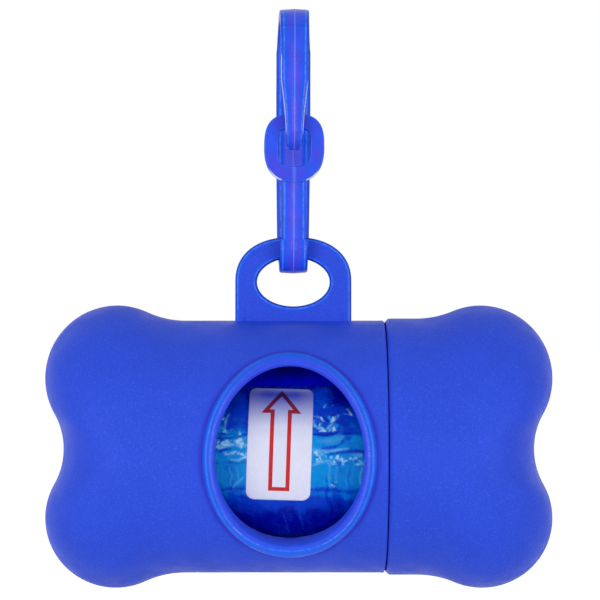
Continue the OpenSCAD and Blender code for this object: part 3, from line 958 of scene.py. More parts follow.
CRUMPLES = (            # left, right, low, high, size, height and whitened share: crease whitening with painted glints
    (-13.6, -10.4, 1.7, 3.8, 1.0, 0.22, 0.06),
    (-11.0, -7.8, 1.9, 4.3, 0.9, 0.24, 0.04),
    (-13.6, -10.4, -0.2, 1.6, 1.1, 0.16, 0.0),
    (-11.2, -7.8, 0.1, 2.0, 0.8, 0.22, -0.1),
    (-13.4, -8.0, 4.0, 5.6, 1.0, 0.15, -0.2),
    (-13.4, -11.0, 5.0, 8.0, 0.9, 0.15, -0.1),
    (1.9, 4.2, 4.7, 7.9, 1.3, 0.2, -0.1),
    (3.8, 6.8, 4.5, 8.0, 1.25, 0.24, -0.3),
    (7.2, 8.9, 7.4, 8.7, 1.0, 0.2, -0.2),
    (4.6, 6.0, 8.8, 9.9, 0.6, 0.16, 0.4),
    (1.9, 5.0, -0.5, 1.9, 1.1, 0.2, 0.26),
    (4.2, 7.4, -1.2, 1.2, 0.8, 0.26, 0.18),
    (6.8, 10.9, -0.9, 1.4, 0.9, 0.24, 0.12),
    (4.2, 6.4, -4.4, -2.2, 0.7, 0.1, 0.04),
)
FOLDS = (               # start, end, width, height and whiteness of a fold, as crease whitening and painted highlight
    ((-13.6, 3.75), (-10.6, 3.5), 0.16, -0.14, 0.0),
    ((-10.6, 3.5), (-8.0, 4.2), 0.16, -0.12, 0.0),
    ((-13.6, 1.5), (-10.9, 1.75), 0.2, -0.15, 0.0),
    ((-10.9, 1.75), (-9.4, 1.6), 0.18, -0.12, 0.0),
    ((-11.0, 2.2), (-10.2, 3.0), 0.1, -0.1, 0.0),
    ((-13.6, -0.35), (-8.0, -0.3), 0.14, -0.08, 0.0),
    ((-12.6, 2.1), (-11.2, 2.15), 0.1, 0.08, 0.7),
    ((-11.2, 2.15), (-10.3, 2.6), 0.09, 0.08, 0.9),
    ((-12.8, 3.1), (-12.6, 1.9), 0.1, 0.08, 0.5),
    ((-11.9, 1.3), (-11.1, 0.8), 0.12, 0.08, 0.6),
    ((-11.1, 0.8), (-10.0, 1.6), 0.13, 0.12, 0.7),
    ((-10.6, 0.1), (-8.1, 0.45), 0.1, 0.1, 0.9),
    ((-11.1, 7.8), (-11.7, 5.2), 0.12, 0.08, 0.5),
    ((2.0, 5.9), (3.4, 5.2), 0.1, 0.1, 0.5),
    ((3.2, 5.5), (4.4, 4.8), 0.1, 0.1, 0.6),
    ((4.5, 5.2), (5.5, 6.1), 0.1, 0.1, 0.7),
    ((4.7, 4.8), (5.3, 5.4), 0.09, 0.1, 0.5),
    ((5.5, 6.4), (6.5, 7.5), 0.16, 0.1, 0.25),
    ((2.2, 7.3), (3.3, 7.1), 0.14, 0.1, 0.25),
    ((2.0, 4.2), (5.9, 4.45), 0.2, -0.16, 0.0),
    ((5.9, 4.45), (11.0, 4.6), 0.25, -0.06, 0.0),
    ((3.6, 1.9), (6.4, 2.5), 0.24, -0.14, 0.0),
    ((6.4, 2.5), (8.5, 3.7), 0.24, -0.12, 0.0),
    ((3.0, 3.1), (7.2, 3.6), 0.3, 0.06, 0.16),
    ((2.0, 1.75), (8.0, 1.85), 0.14, 0.08, 0.5),
    ((2.4, 1.3), (3.9, 1.15), 0.24, 0.08, 0.6),
    ((5.0, 1.3), (11.0, 1.4), 0.2, -0.16, 0.0),
    ((2.0, -0.7), (5.4, 0.4), 0.12, 0.08, 0.4),
    ((9.0, -0.55), (11.0, -0.45), 0.14, 0.08, 0.6),
    ((8.6, 0.2), (9.8, 1.0), 0.2, 0.08, 0.7),
    ((4.95, -4.0), (4.85, -0.6), 0.12, 0.08, 0.12),
    ((4.6, -6.8), (4.55, -2.6), 0.15, -0.1, 0.0),
    ((6.0, -3.6), (5.9, -0.9), 0.14, 0.06, 0.1),
    ((7.5, -4.2), (7.6, -1.0), 0.1, 0.05, 0.1),
    ((8.4, -4.0), (8.5, -0.9), 0.1, 0.05, 0.08),
    ((9.75, -4.2), (9.95, -1.2), 0.09, 0.08, 0.6),
    ((-12.9, -4.0), (-12.7, -0.8), 0.14, 0.05, 0.06),
    ((-10.7, -4.0), (-10.9, -0.8), 0.11, 0.06, 0.12),
    ((-9.6, -3.0), (-9.9, -0.8), 0.12, 0.06, 0.14),
    ((-10.4, -4.4), (-8.7, -2.7), 0.12, 0.08, 0.25),
    ((5.3, -9.5), (5.0, -6.1), 0.2, -0.07, 0.0),
    ((-1.5, -13.5), (-2.6, -9.0), 0.12, 0.06, 0.02),
    ((0.6, -12.5), (0.2, -8.2), 0.13, 0.05, 0.02),
)
GLINTS = (              # corners of a flat facet with a painted glint, and its whiteness
    (((3.8, 8.8), (4.1, 8.7), (4.5, 9.5)), 0.6),
    (((6.8, 7.7), (8.6, 7.3), (7.7, 8.6)), 0.8),
    (((4.8, 5.9), (5.9, 6.5), (6.0, 7.3), (5.4, 7.2)), 0.6),
    (((3.3, 7.0), (3.8, 6.3), (4.1, 6.3), (3.6, 7.1)), 0.8),
    (((3.2, 4.7), (4.7, 4.6), (3.6, 5.4)), 0.75),
    (((5.3, 4.7), (5.9, 4.8), (5.5, 5.9)), 0.7),
    (((1.9, 6.3), (2.6, 5.6), (2.4, 6.6)), 0.35),
    (((-12.4, 2.8), (-11.6, 2.1), (-10.8, 2.7), (-11.3, 3.5)), 0.75),
    (((-10.3, 3.1), (-9.0, 1.9), (-8.4, 3.6), (-9.3, 3.6)), 0.85),
    (((-9.5, 4.1), (-9.1, 4.1), (-9.4, 5.1)), 0.6),
    (((-9.6, 1.1), (-8.2, 0.4), (-8.2, 1.4)), 0.85),
    (((-12.3, 5.3), (-11.7, 4.8), (-11.7, 5.4)), 0.8),
    (((5.7, 0.4), (6.5, -0.1), (6.2, 1.1)), 0.9),
    (((4.9, -0.1), (5.2, -0.6), (6.0, -0.6), (5.7, 0.1)), 0.75),
    (((7.0, 0.4), (7.0, -0.4), (7.8, 0.1)), 0.8),
    (((8.1, 1.2), (9.1, 0.3), (9.7, 0.6), (8.8, 1.2)), 0.75),
    (((2.5, -0.2), (3.4, -0.3), (3.8, 0.3)), 0.5),
)


def facet(x, v, corners):
    """1 inside the corners of a flat facet, which run anticlockwise, fading over its edges."""
    inside = np.ones(x.shape)
    for (x0, v0), (x1, v1) in zip(corners, corners[1:] + corners[:1]):
        depth = ((x1 - x0) * (v - v0) - (v1 - v0) * (x - x0)) / np.hypot(x1 - x0, v1 - v0)
        inside *= smooth_step(depth / 0.2 + 0.5)
    return inside


DENTS = 0.1             # height of the film's broad dents, in mm
DENT_SINK = 0.06        # and how far the film lies below the roll's radius on average
RIPPLES = 0.05          # height of its narrow upright ripples
BULGE = 0.1             # height of the bulge right of the label, under the loose fold's edge,
BULGE_LOW = 1.7         # which starts here
BULGE_SPAN = 2.7        # and is this wide
KINK = 0.45             # how far folds and crumples wander from their straight outlines, in mm
FOLD_SPREAD = 1.35      # folds are wider than their table says
FOLD_TONE = 2.6         # change of the tone for 1 mm of a fold's height: painted shade in a groove, painted light on a ridge
GLINT_LIFT = 0.06       # height of a bright facet


def film_skin(x, v):
    """Height in mm over the roll's radius, looseness with painted shade, and whiteness of the film
    with painted glints, at (x, v).
    """
    height = DENTS * crumple(x, v, size=3.2, seed=11) - DENT_SINK
    height += RIPPLES * crumple(x / 0.5, v, size=1.3, seed=23)
    height += LOOSE_LIFT * patch(x, v, -40, 40, LOOSE_LOW, LOOSE_HIGH, edge=0.35)
    height += BULGE * np.sin(np.pi * np.clip((v - BULGE_LOW) / BULGE_SPAN, 0, 1)) * (x > 0)
    height -= FLAP_DEPTH * smooth_step((v - FLAP_EDGE) / 0.2) * (v < FLAP_GAP)

    wander = 0.9 * (facets(x, 0.2 * v, size=2.6, lean=0.2, seed=17) - 0.5)
    tone = np.interp(v + wander * (np.abs(v - FLAP_EDGE) > 0.5), *zip(*FILM_TONES))
    for *box, change in TONE_PATCHES:
        tone += change * patch(x, v, *box)

    kinked_x = x + KINK * (facets(x, v, size=1.5, lean=0.5, seed=61) - 0.5)
    kinked_v = v + KINK * (facets(x, v, size=1.5, lean=-0.4, seed=62) - 0.5)
    white = np.zeros(x.shape)
    for k, (*box, size, rise, share) in enumerate(CRUMPLES):
        inside = patch(kinked_x, kinked_v, *box, edge=0.8)
        seed = 40 + 7 * k
        shade = shards(x, v, size, seed)
        height += rise * crumple(x, v, size, seed) * inside
        # each facet is painted its own shade of light
        tone += 0.8 * (shade - 0.45) * inside
        # the palest facets get a painted glint
        pale = smooth_step((shade - 0.74 + 0.5 * share) / 0.18)
        white += inside * pale * (0.5 + 0.5 * smooth_step((shade - 0.72) / 0.12))
    mottle = 0.25 * (shards(x, v, size=2.2, seed=71) - 0.5)
    tone += mottle + 0.2 * (facets(x, 0.25 * v, size=0.8, lean=0.1, seed=31) - 0.5)

    breaks = 0.35 + 0.9 * facets(x, v, size=1.1, lean=0.3, seed=57)
    for start, end, width, rise, whiteness in FOLDS:
        line = stroke(kinked_x, kinked_v, start, end, FOLD_SPREAD * width)
        height += rise * line
        white += 0.8 * whiteness * line * breaks
        tone += FOLD_TONE * rise * line
        white *= 1 - line * (whiteness == 0)

    sheet = facets(x + 0.5 * v, 0.6 * v, size=0.42, lean=0.7, seed=83)
    streaks = smooth_step((sheet - 0.15) / 0.5)
    # painted glints on flat facets
    for corners, whiteness in GLINTS:
        inside = facet(x, v, corners)
        height += GLINT_LIFT * inside
        white += inside * (1.3 * whiteness * streaks - 0.5 * white)
        tone += 0.1 * inside
    return height, tone, white


def spaced(stops):
    """Places from the first stop to the last, each stretch at its own step."""
    made = [np.arange(low, high, step) for (low, step), (high, _) in zip(stops, stops[1:])]
    return np.concatenate(made + [[stops[-1][0]]])


X_STOPS = ((-14, 0.15), (11.5, 0.8))        # the skin's grid is fine where it shows: place in mm,
V_STOPS = ((-14.5, 0.15), (15, 0.45))       # and step from there on
PRESS_EDGE = 0.35 * MM      # the label presses the film flat this far round it
PRESS_DEPTH = 0.04          # and this far down, in mm
SKIN_TOP = 0.15             # the film stands out no further, in mm
UNDER_END = 22              # film past the outermost bag's edge is darker up to here, in a navy lifted by painted light
WIND_STEPS = 33             # rings on the roll's two faces
WIND_STEP = 0.12 * MM       # every second one is sunk by this
FACE_TONE = 0.35            # looseness of the film on them
CORE_STEPS = 96
CORE_FIT = 0.01 * MM        # gap between the core and the film


def build_roll(roll):
    """Wound film with its outermost bag, and the core."""
    end = roll.half_length / MM
    around = np.pi * roll.radius / MM
    x = spaced(((-end, 0.8), *X_STOPS, (end, 1)))
    v = spaced(((-around, 0.45), *V_STOPS, (around, 1)))[:-1]
    turns = v * MM / roll.radius
    x, v = np.meshgrid(x, v, indexing="ij")
    height, tone, white = film_skin(x, v)
    label = RollLabel(roll)
    right, top = label.half + PRESS_EDGE
    covered = patch(*label.flat(x * MM, v * MM), -right, right, -top, top, PRESS_EDGE)
    height = np.minimum(height, SKIN_TOP) * (1 - covered) - PRESS_DEPTH * covered
    skin = roll_point(x * MM, v * MM / roll.radius, roll.radius + height * MM)

    wound = np.linspace(roll.radius, roll.core_radius, WIND_STEPS + 1)[1:]
    left_face, right_face = (
        [
            roll_point(side * (roll.half_length - WIND_STEP * (k % 2)), turns, r)
            for k, r in enumerate(wound)
        ]
        for side in (-1, 1)
    )
    rows = left_face[::-1] + list(skin) + right_face + left_face[-1:]
    beside = ((WIND_STEPS, WIND_STEPS + 1), (0, 0))
    tone = np.pad(np.clip(tone, 0, 1), beside, constant_values=FACE_TONE)
    white = np.pad(np.clip(white, 0, 0.95), beside)
    under = np.pad(smooth_step((v - FLAP_EDGE) / 0.3) * (v < UNDER_END), beside)
    work = Patchwork()
    work.grid(rows, closed=True, tone=tone, white=white, under=under)
    film = work.mesh("bag_film", [film_plastic()])
    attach(film, "roll")
    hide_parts("bag_roll", "outer_bag")

    turns = full_turn(CORE_STEPS)
    outside, inside = roll.core_radius - CORE_FIT, roll.core_radius - roll.core_wall
    section = [(-1, outside), (-1, inside), (1, inside), (1, outside), (-1, outside)]
    work = Patchwork()
    work.grid([roll_point(side * roll.half_length, turns, r) for side, r in section], closed=True)
    tube = work.mesh("card_core", [core_card()])
    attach(tube, "roll")
    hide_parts("roll_core")


class RollLabel:
    """Places on the label: u across it and w up it, from its centre, in metres."""

    def __init__(self, roll):
        self.roll = roll
        self.half = np.array([roll.label_width / 2, roll.label_length / 2])
        self.cos, self.sin = np.cos(roll.label_tilt), np.sin(roll.label_tilt)

    def flat(self, x, v):
        """(u, w) of places (x, v) on the roll's skin, in metres."""
        x = x - self.roll.label_offset
        v = v - self.roll.label_angle * self.roll.radius
        return x * self.cos - v * self.sin, x * self.sin + v * self.cos

    def on_roll(self, flat, lift):
        """Points of the label's (u, w) places, lifted off the roll."""
        x = flat[..., 0] * self.cos + flat[..., 1] * self.sin + self.roll.label_offset
        v = flat[..., 1] * self.cos - flat[..., 0] * self.sin
        turn = self.roll.label_angle + v / self.roll.radius
        return roll_point(x, turn, self.roll.radius + lift)


LABEL_THICKNESS = 0.1 * MM
LABEL_EDGE = 0.06 * MM      # its edge rises to its face over this width
LABEL_RINGS = 29            # from there to its centre
LABEL_CORNERS = (1.15 * MM, 1.15 * MM, 1.4 * MM, 1.4 * MM)     # from the upper right, anticlockwise
DUSK = (                    # place up the label in mm, share of the painted shade from the rim
    (0.0, 0.0), (2.5, 0.12), (4.1, 0.38), (5.2, 0.56), (6.2, 0.72), (7.2, 0.88), (8.1, 1.0),
    (8.8, 0.9), (9.3, 0.55),
)
ARROW_TIP = 8.9 * MM
ARROW_HEAD = 4.7 * MM
ARROW_FOOT = -7.8 * MM
ARROW_LINE = 0.63 * MM
ARROW_REACH = 3.15 * MM     # half the head's width
ARROW_STEM = 1.68 * MM      # half the stem's width
ARROW_SHIFT = 0.08 * MM
ARROW_STEPS = 48            # points on each of its sides, so that they bend with the roll
INK_THICKNESS = 0.012 * MM


def dusk(flat):
    """Share of the painted shade from the rim at the label's (u, w) places."""
    return np.interp(flat[:, 1] / MM, *zip(*DUSK))


def build_label(roll):
    """Paper label round the front of the roll, and the outlined arrow printed on it."""
    label = RollLabel(roll)
    loop = []
    signs = np.array([(1, 1), (-1, 1), (-1, -1), (1, -1)])
    for sign, start, corner in zip(signs, (0, 90, 180, 270), LABEL_CORNERS):
        loop += list(arc(label.half * sign - corner * sign, corner, start, start + 90, 8))
    loop = filled(loop, 0.4 * MM)
    inset = loop - LABEL_EDGE * loop_normals(loop)
    flats = [loop * 0.98, loop, loop] + [inset * k for k in np.linspace(1, 0, LABEL_RINGS + 1)]
    lifts = [0.0, 0.0, 0.6 * LABEL_THICKNESS] + [LABEL_THICKNESS] * (LABEL_RINGS + 1)
    # the painted shade is weaker towards the label's sides
    sides = [1 - 0.18 * smooth_step((np.abs(flat[:, 0]) / MM - 2) / 3) for flat in flats]
    shares = [dusk(flat) * side for flat, side in zip(flats, sides)]
    work = Patchwork()
    work.grid([label.on_roll(f, lift) for f, lift in zip(flats, lifts)], closed=True, dusk=shares)
    paper = work.mesh("paper_label", [label_paper()])
    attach(paper, "roll")
    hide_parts("roll_label")

    left = [
        (0.0, ARROW_TIP), (-ARROW_REACH, ARROW_HEAD), (-ARROW_STEM, ARROW_HEAD),
        (-ARROW_STEM, ARROW_FOOT),
    ]
    outer = np.array(left + [(-u, w) for u, w in left[:0:-1]])
    before = outer - np.roll(outer, 1, axis=0)
    after = np.roll(outer, -1, axis=0) - outer
    n1, n2 = (
        np.stack([run[:, 1], -run[:, 0]], axis=1) / np.linalg.norm(run, axis=1)[:, None]
        for run in (before, after)
    )
    mitre = (n1 + n2) / (1 + np.sum(n1 * n2, axis=1))[:, None]
    shares = (np.arange(ARROW_STEPS) / ARROW_STEPS)[:, None]
    loops = []
    for flat in (outer, outer - mitre * ARROW_LINE):
        fine = flat[:, None] + (np.roll(flat, -1, axis=0) - flat)[:, None] * shares
        loops.append(fine.reshape(-1, 2) + [ARROW_SHIFT, 0.0])
    top = LABEL_THICKNESS + INK_THICKNESS
    low = LABEL_THICKNESS - INK_THICKNESS
    section = [(loops[k], lift) for k, lift in ((0, low), (0, top), (1, top), (1, low), (0, low))]
    work = Patchwork()
    work.grid(
        [label.on_roll(flat, lift) for flat, lift in section], closed=True,
        dusk=[dusk(flat) for flat, _ in section],
    )
    arrow = work.mesh("label_arrow", [label_ink()])
    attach(arrow, "roll")


# ---- materials ------------------------------------------------------------


class Wiring:
    """Adds nodes to a tree and feeds their sockets."""

    def __init__(self, tree):
        self.tree = tree

    def feed(self, socket, value):
        """Joins another node's output to an input, or gives it a value, and a colour its alpha."""
        if isinstance(value, bpy.types.NodeSocket):
            self.tree.links.new(value, socket)
        else:
            socket.default_value = (*value, 1.0) if socket.type == "RGBA" else value

    def node(self, kind, inputs=None, **settings):
        """A node with its settings and inputs."""
        made = self.tree.nodes.new(kind)
        for key, value in settings.items():
            setattr(made, key, value)
        for key, value in (inputs or {}).items():
            self.feed(made.inputs[key], value)
        return made

    def math(self, operation, first, *others):
        """The operation on the first two values, then on that and the next, and so on."""
        for other in others:
            made = self.node("ShaderNodeMath", {0: first, 1: other}, operation=operation)
            first = made.outputs[0]
        return first

    def times(self, *values):
        """The product of the values."""
        return self.math("MULTIPLY", *values)

    def plus(self, *values):
        """The sum of the values."""
        return self.math("ADD", *values)

    def mix(self, share, first, second):
        """A colour between two others."""
        made = self.node("ShaderNodeMix", {0: share, 6: first, 7: second}, data_type="RGBA")
        return made.outputs[2]

    def span(self, value, low, high, to_low=0.0, to_high=1.0):
        """Eases from to_low to to_high as the value goes from low to high."""
        inputs = {"Value": value, 1: low, 2: high, 3: to_low, 4: to_high}
        made = self.node("ShaderNodeMapRange", inputs, interpolation_type="SMOOTHSTEP")
        return made.outputs["Result"]

    def peak(self, value, at, reach):
        """1 where the value is at a place, easing to 0 within its reach."""
        signed = self.math("SUBTRACT", value, at)
        gap = self.node("ShaderNodeMath", {0: signed}, operation="ABSOLUTE").outputs[0]
        return self.span(gap, reach, 0.0)

    def place(self, stretch=(1, 1, 1)):
        """The object's coordinates in millimetres, stretched."""
        where = self.node("ShaderNodeTexCoord").outputs["Object"]
        inputs = {0: where, 1: tuple(k / MM for k in stretch)}
        return self.node("ShaderNodeVectorMath", inputs, operation="MULTIPLY").outputs[0]

    def noise(self, where, scale, detail=2.0, rough=0.5):
        """Noise from 0 to 1."""
        inputs = {"Vector": where, "Scale": scale, "Detail": detail, "Roughness": rough}
        return self.node("ShaderNodeTexNoise", inputs).outputs["Fac"]

    def mark(self, name):
        """A value that the mesh's points carry."""
        return self.node("ShaderNodeAttribute", attribute_name=name).outputs["Fac"]

    def group(self, tree, **inputs):
        """A shared effect with its own values."""
        return self.node("ShaderNodeGroup", inputs, node_tree=tree).outputs


FLOAT, COLOUR = "NodeSocketFloat", "NodeSocketColor"


def shared_group(name, inputs, outputs, wire):
    """A node group, made once: inputs give each socket's kind and default, outputs their kind."""
    tree = bpy.data.node_groups.get(name)
    if tree:
        return tree
    tree = bpy.data.node_groups.new(name, "ShaderNodeTree")
    for label, (kind, default) in inputs.items():
        tree.interface.new_socket(label, in_out="INPUT", socket_type=kind).default_value = default
    for label, kind in outputs.items():
        tree.interface.new_socket(label, in_out="OUTPUT", socket_type=kind)
    wiring = Wiring(tree)
    given = wiring.node("NodeGroupInput").outputs
    wiring.node("NodeGroupOutput", wire(wiring, given))
    return tree


def mould_grain():
    """Fine spark-eroded texture, with the speckle of its peaks and of its pits."""

    def wire(w, given):
        frequency = w.math("DIVIDE", 1.0, given["Size"])
        fine = w.noise(w.place(), frequency, detail=1.0, rough=0.6)
        coarse = w.noise(w.place(), w.times(frequency, 0.31))
        return {
            "Height": w.plus(w.span(fine, 0.3, 0.7), w.times(coarse, 0.5)),
            "Speckle": w.span(fine, 0.56, 0.7),
            "Pits": w.span(fine, 0.44, 0.3),
        }

    outputs = {"Height": FLOAT, "Speckle": FLOAT, "Pits": FLOAT}
    return shared_group("mould grain", {"Size": (FLOAT, 0.25)}, outputs, wire)


def colour_drift():
    """Slow lighter and darker patches in a colour."""

    def wire(w, given):
        slow = w.noise(w.place(), w.math("DIVIDE", 1.0, given["Patch"]), detail=3.0, rough=0.6)
        share = w.times(w.math("SUBTRACT", w.span(slow, 0.25, 0.75), 0.5), given["Amount"])
        inputs = {0: given["Color"], "Scale": w.plus(1.0, share)}
        return {"Color": w.node("ShaderNodeVectorMath", inputs, operation="SCALE").outputs[0]}

    inputs = {"Color": (COLOUR, (0.5, 0.5, 0.5, 1)), "Patch": (FLOAT, 6.0), "Amount": (FLOAT, 0.1)}
    return shared_group("colour drift", inputs, {"Color": COLOUR}, wire)


def edge_bands():
    """Colour that changes towards a moulding's edges as a painted sheen, with a fine painted
    highlight line beside them and painted shade on the outermost edge.
    """

    def wire(w, given):
        rim = given["Rim"]
        # painted sheen as the faces near their edges
        sides = w.mix(w.span(rim, 0.42, 0.66), given["Color"], given["Edge"])
        # a painted highlight line where the edge's rounding starts
        worn = w.times(w.span(rim, 0.68, 0.76), w.span(rim, 0.86, 0.78))
        broken = w.span(w.noise(w.place(), 1.1, detail=3.0, rough=0.6), 0.32, 0.62, to_low=0.25)
        lined = w.mix(w.times(worn, broken, given["Wear"]), sides, given["Worn"])
        # painted shade on the outermost edge
        return {"Color": w.mix(w.span(rim, 0.86, 0.97), lined, given["Outline"])}

    white = (COLOUR, (1, 1, 1, 1))
    inputs = {"Color": white, "Edge": white, "Worn": white, "Outline": white}
    inputs |= {"Rim": (FLOAT, 0.0), "Wear": (FLOAT, 0.5)}
    return shared_group("edge bands", inputs, {"Color": COLOUR}, wire)


def handling_marks():
    """Smudges and faint rubbed streaks in a roughness."""

    def wire(w, given):
        smudge = w.span(w.noise(w.place(), 0.22, detail=3.0, rough=0.6), 0.35, 0.65)
        streak = w.span(w.noise(w.place((0.25, 1, 2.2)), 2.0), 0.5, 0.8)
        wear = w.math("SUBTRACT", w.plus(smudge, w.times(streak, 0.5)), 0.6)
        return {"Roughness": w.plus(given["Roughness"], w.times(wear, given["Amount"]))}

    inputs = {"Roughness": (FLOAT, 0.5), "Amount": (FLOAT, 0.1)}
    return shared_group("handling marks", inputs, {"Roughness": FLOAT}, wire)


def finish(name, patches, roughness, smudges=0.0, depth=0.0, specular=0.5):
    """A decorator for a function that wires a material's colour and the height of its bump.

    The material is made once. patches are the size in millimetres and the strength of the slow
    patches in its colour, smudges how much handling changes its roughness, and depth the depth
    of its bump in millimetres.
    """

    def wrap(wire):
        def get():
            made = bpy.data.materials.get(name)
            if made:
                return made
            made = bpy.data.materials.new(name)
            made.use_nodes = True
            tree = Wiring(made.node_tree)
            sockets = made.node_tree.nodes["Principled BSDF"].inputs
            colour, height = wire(tree, bpy.context.scene.dispenser_finishes)
            drift = tree.group(colour_drift(), Color=colour, Patch=patches[0], Amount=patches[1])
            tree.feed(sockets["Base Color"], drift["Color"])
            tree.feed(sockets["Roughness"], roughness)
            tree.feed(sockets["Specular IOR Level"], specular)
            if smudges:
                marks = tree.group(handling_marks(), Roughness=roughness, Amount=smudges)
                tree.feed(sockets["Roughness"], marks["Roughness"])
            if depth:
                bump = tree.node("ShaderNodeBump", {"Height": height, "Distance": depth * MM})
                tree.feed(sockets["Normal"], bump.outputs["Normal"])
            return made

        return get

    return wrap


@finish("grained case plastic", (7.0, 0.07), 0.46, smudges=0.1, depth=0.026, specular=0.08)
def case_plastic(tree, colours):
    """The grain's peaks get a painted highlight and its pits painted shade; the tab's edges have
    their own colours.
    """
    grain = tree.group(mould_grain(), Size=0.26)
    # painted highlight on the grain's peaks and painted shade in its pits
    lighter = tuple(min(1.0, k * 1.12 + 0.012) for k in colours.case)
    darker = tuple(k * 0.88 for k in colours.case)
    pitted = tree.mix(tree.times(grain["Pits"], 0.7), colours.case, darker)
    bands = tree.group(
        edge_bands(), Color=tree.mix(grain["Speckle"], pitted, lighter), Edge=colours.case_edge,
        Worn=colours.worn, Outline=colours.outline, Rim=tree.mark("rim"), Wear=0.3,
    )
    return bands["Color"], grain["Height"]


@finish("smooth rim plastic", (2.5, 0.1), 0.4, smudges=0.12, depth=0.012, specular=0.07)
def rim_plastic(tree, colours):
    """Bands of colour across the rim and down the outlet's wall, with broken pale lines of painted
    highlight.
    """
    across, flank, below = tree.mark("across"), tree.mark("flank"), tree.mark("below")
    grain = tree.group(mould_grain(), Size=0.22)
    outside = tree.mix(below, colours.rim, colours.rim_low)
    inside = tree.mix(tree.times(below, 0.3), colours.rim_inside, colours.rim_low)
    crossed = tree.plus(across, tree.times(below, 0.28))
    slope = tree.mix(tree.span(crossed, 0.3, 0.56), inside, outside)

    # painted highlight lines along the rim's sides, its foot and its crest, broken by the grain
    outer_line, inner_line = tree.peak(across, 0.69, 0.14), tree.peak(across, 0.33, 0.16)
    sides = tree.times(tree.plus(outer_line, inner_line), flank)
    lower = tree.times(tree.peak(across, 0.92, 0.08), below)
    dashes = tree.span(tree.noise(tree.place(), 1.7), 0.4, 0.58, to_low=0.3, to_high=2.6)
    crest = tree.times(
        tree.peak(crossed, 0.47, 0.065), tree.span(below, 0.1, 0.42),
        tree.span(below, 1.0, 0.75, to_low=0.35), dashes,
    )
    broken = tree.plus(tree.times(grain["Speckle"], 0.34), 0.16)
    lined = tree.mix(tree.times(tree.plus(sides, lower, crest), broken), slope, colours.worn)

    # painted shade in the crease where the rim meets the case
    foot = tree.mix(tree.span(across, 0.94, 1.04), lined, colours.rim_foot)
    ringed = tree.mix(tree.span(across, 1.1, 1.5), foot, colours.case)
    # painted light on the outlet's wall, strongest at its foot
    wall = tree.mix(below, colours.wall, colours.wall_low)
    return tree.mix(tree.span(across, -0.05, -0.4), ringed, wall), grain["Height"]


@finish("smooth hook plastic", (3.0, 0.14), 0.34, smudges=0.14, depth=0.012, specular=0.2)
def hook_plastic(tree, colours):
    """Slow streaks of two blues, with painted light behind the ring's hole, its edges, its parting
    line and painted highlights on its corners.
    """
    grain = tree.group(mould_grain(), Size=0.6)
    slow = tree.span(tree.noise(tree.place((1, 1, 0.5)), 0.55), 0.4, 0.64, to_high=0.55)
    tinted = tree.mix(slow, colours.hook, colours.hook_edge)
    # painted light on the spine behind the ring's hole
    lit = tree.mix(tree.times(tree.mark("glow"), 0.85), tinted, colours.hook_glow)
    # painted edge shade for the hook
    shaded = tuple(0.45 * (a + b) for a, b in zip(colours.outline, colours.hook_edge))
    bands = tree.group(
        edge_bands(), Color=lit, Edge=colours.hook_edge, Worn=colours.worn, Outline=shaded,
        Rim=tree.mark("rim"), Wear=0.32,
    )
    lined = tree.mix(tree.times(tree.mark("seam"), 0.34), bands["Color"], colours.worn)
    # painted highlights on the hook's corners
    return tree.mix(tree.mark("gleam"), lined, colours.gleam), grain["Height"]


@finish("bag film", (1.5, 0.16), 0.24, smudges=0.15, depth=0.05, specular=0.08)
def film_plastic(tree, colours):
    """The looser the film the paler, with whitened creases and painted glints over that."""
    flecks = tree.noise(tree.place((1, 1, 2)), 1.6, detail=4.0, rough=0.65)
    tone = tree.plus(tree.mark("tone"), tree.span(flecks, 0.3, 0.7, to_low=-0.06, to_high=0.06))
    low = tree.mix(tree.span(tone, 0.0, 0.5), colours.film_deep, colours.film_mid)
    blue = tree.mix(tree.span(tone, 0.45, 0.95), low, colours.film_light)
    # crease whitening and painted glints
    crease = tree.times(tree.mark("white"), tree.span(flecks, 0.3, 0.55, to_low=0.35))
    creased = tree.mix(crease, blue, colours.film_crease)
    wrinkles = tree.noise(tree.place((1, 1, 0.6)), 3.5, detail=3.0, rough=0.6)
    # painted light past the outermost bag's edge, in the rim's shade
    return tree.mix(tree.mark("under"), creased, colours.film_under), wrinkles


@finish("label paper", (4.0, 0.05), 0.5, smudges=0.1, depth=0.006, specular=0.2)
def label_paper(tree, colours):
    """Faintly fibrous paper with painted shade from the rim towards its end."""
    fibre = tree.noise(tree.place((6, 1, 0.8)), 1.2, detail=3.0, rough=0.6)
    shade = tree.mix(tree.mark("dusk"), colours.paper, colours.paper_dusk)
    # the fibres darken a little towards the painted shade's colour
    return tree.mix(tree.span(fibre, 0.3, 0.7, to_high=0.07), shade, colours.paper_dusk), fibre


@finish("arrow ink", (3.0, 0.12), 0.45, smudges=0.1, specular=0.15)
def label_ink(tree, colours):
    """Red ink, a little thin on the paper's grain, with painted shade from the rim towards its tip.
    """
    grain = tree.group(mould_grain(), Size=0.12)
    worn = tree.mix(tree.times(grain["Speckle"], 0.08), colours.ink, colours.paper)
    return tree.mix(tree.mark("dusk"), worn, colours.ink_dusk), None


@finish("core card", (5.0, 0.15), 0.8, smudges=0.08, depth=0.05)
def core_card(tree, colours):
    """Card with pale fibres that run along the roll."""
    fibre = tree.noise(tree.place((0.5, 3, 3)), 2.5, detail=4.0, rough=0.65)
    pale = tuple(min(1.0, k * 1.5) for k in colours.card)
    return tree.mix(tree.span(fibre, 0.35, 0.7), colours.card, pale), fibre


# ---- stage ----------------------------------------------------------------

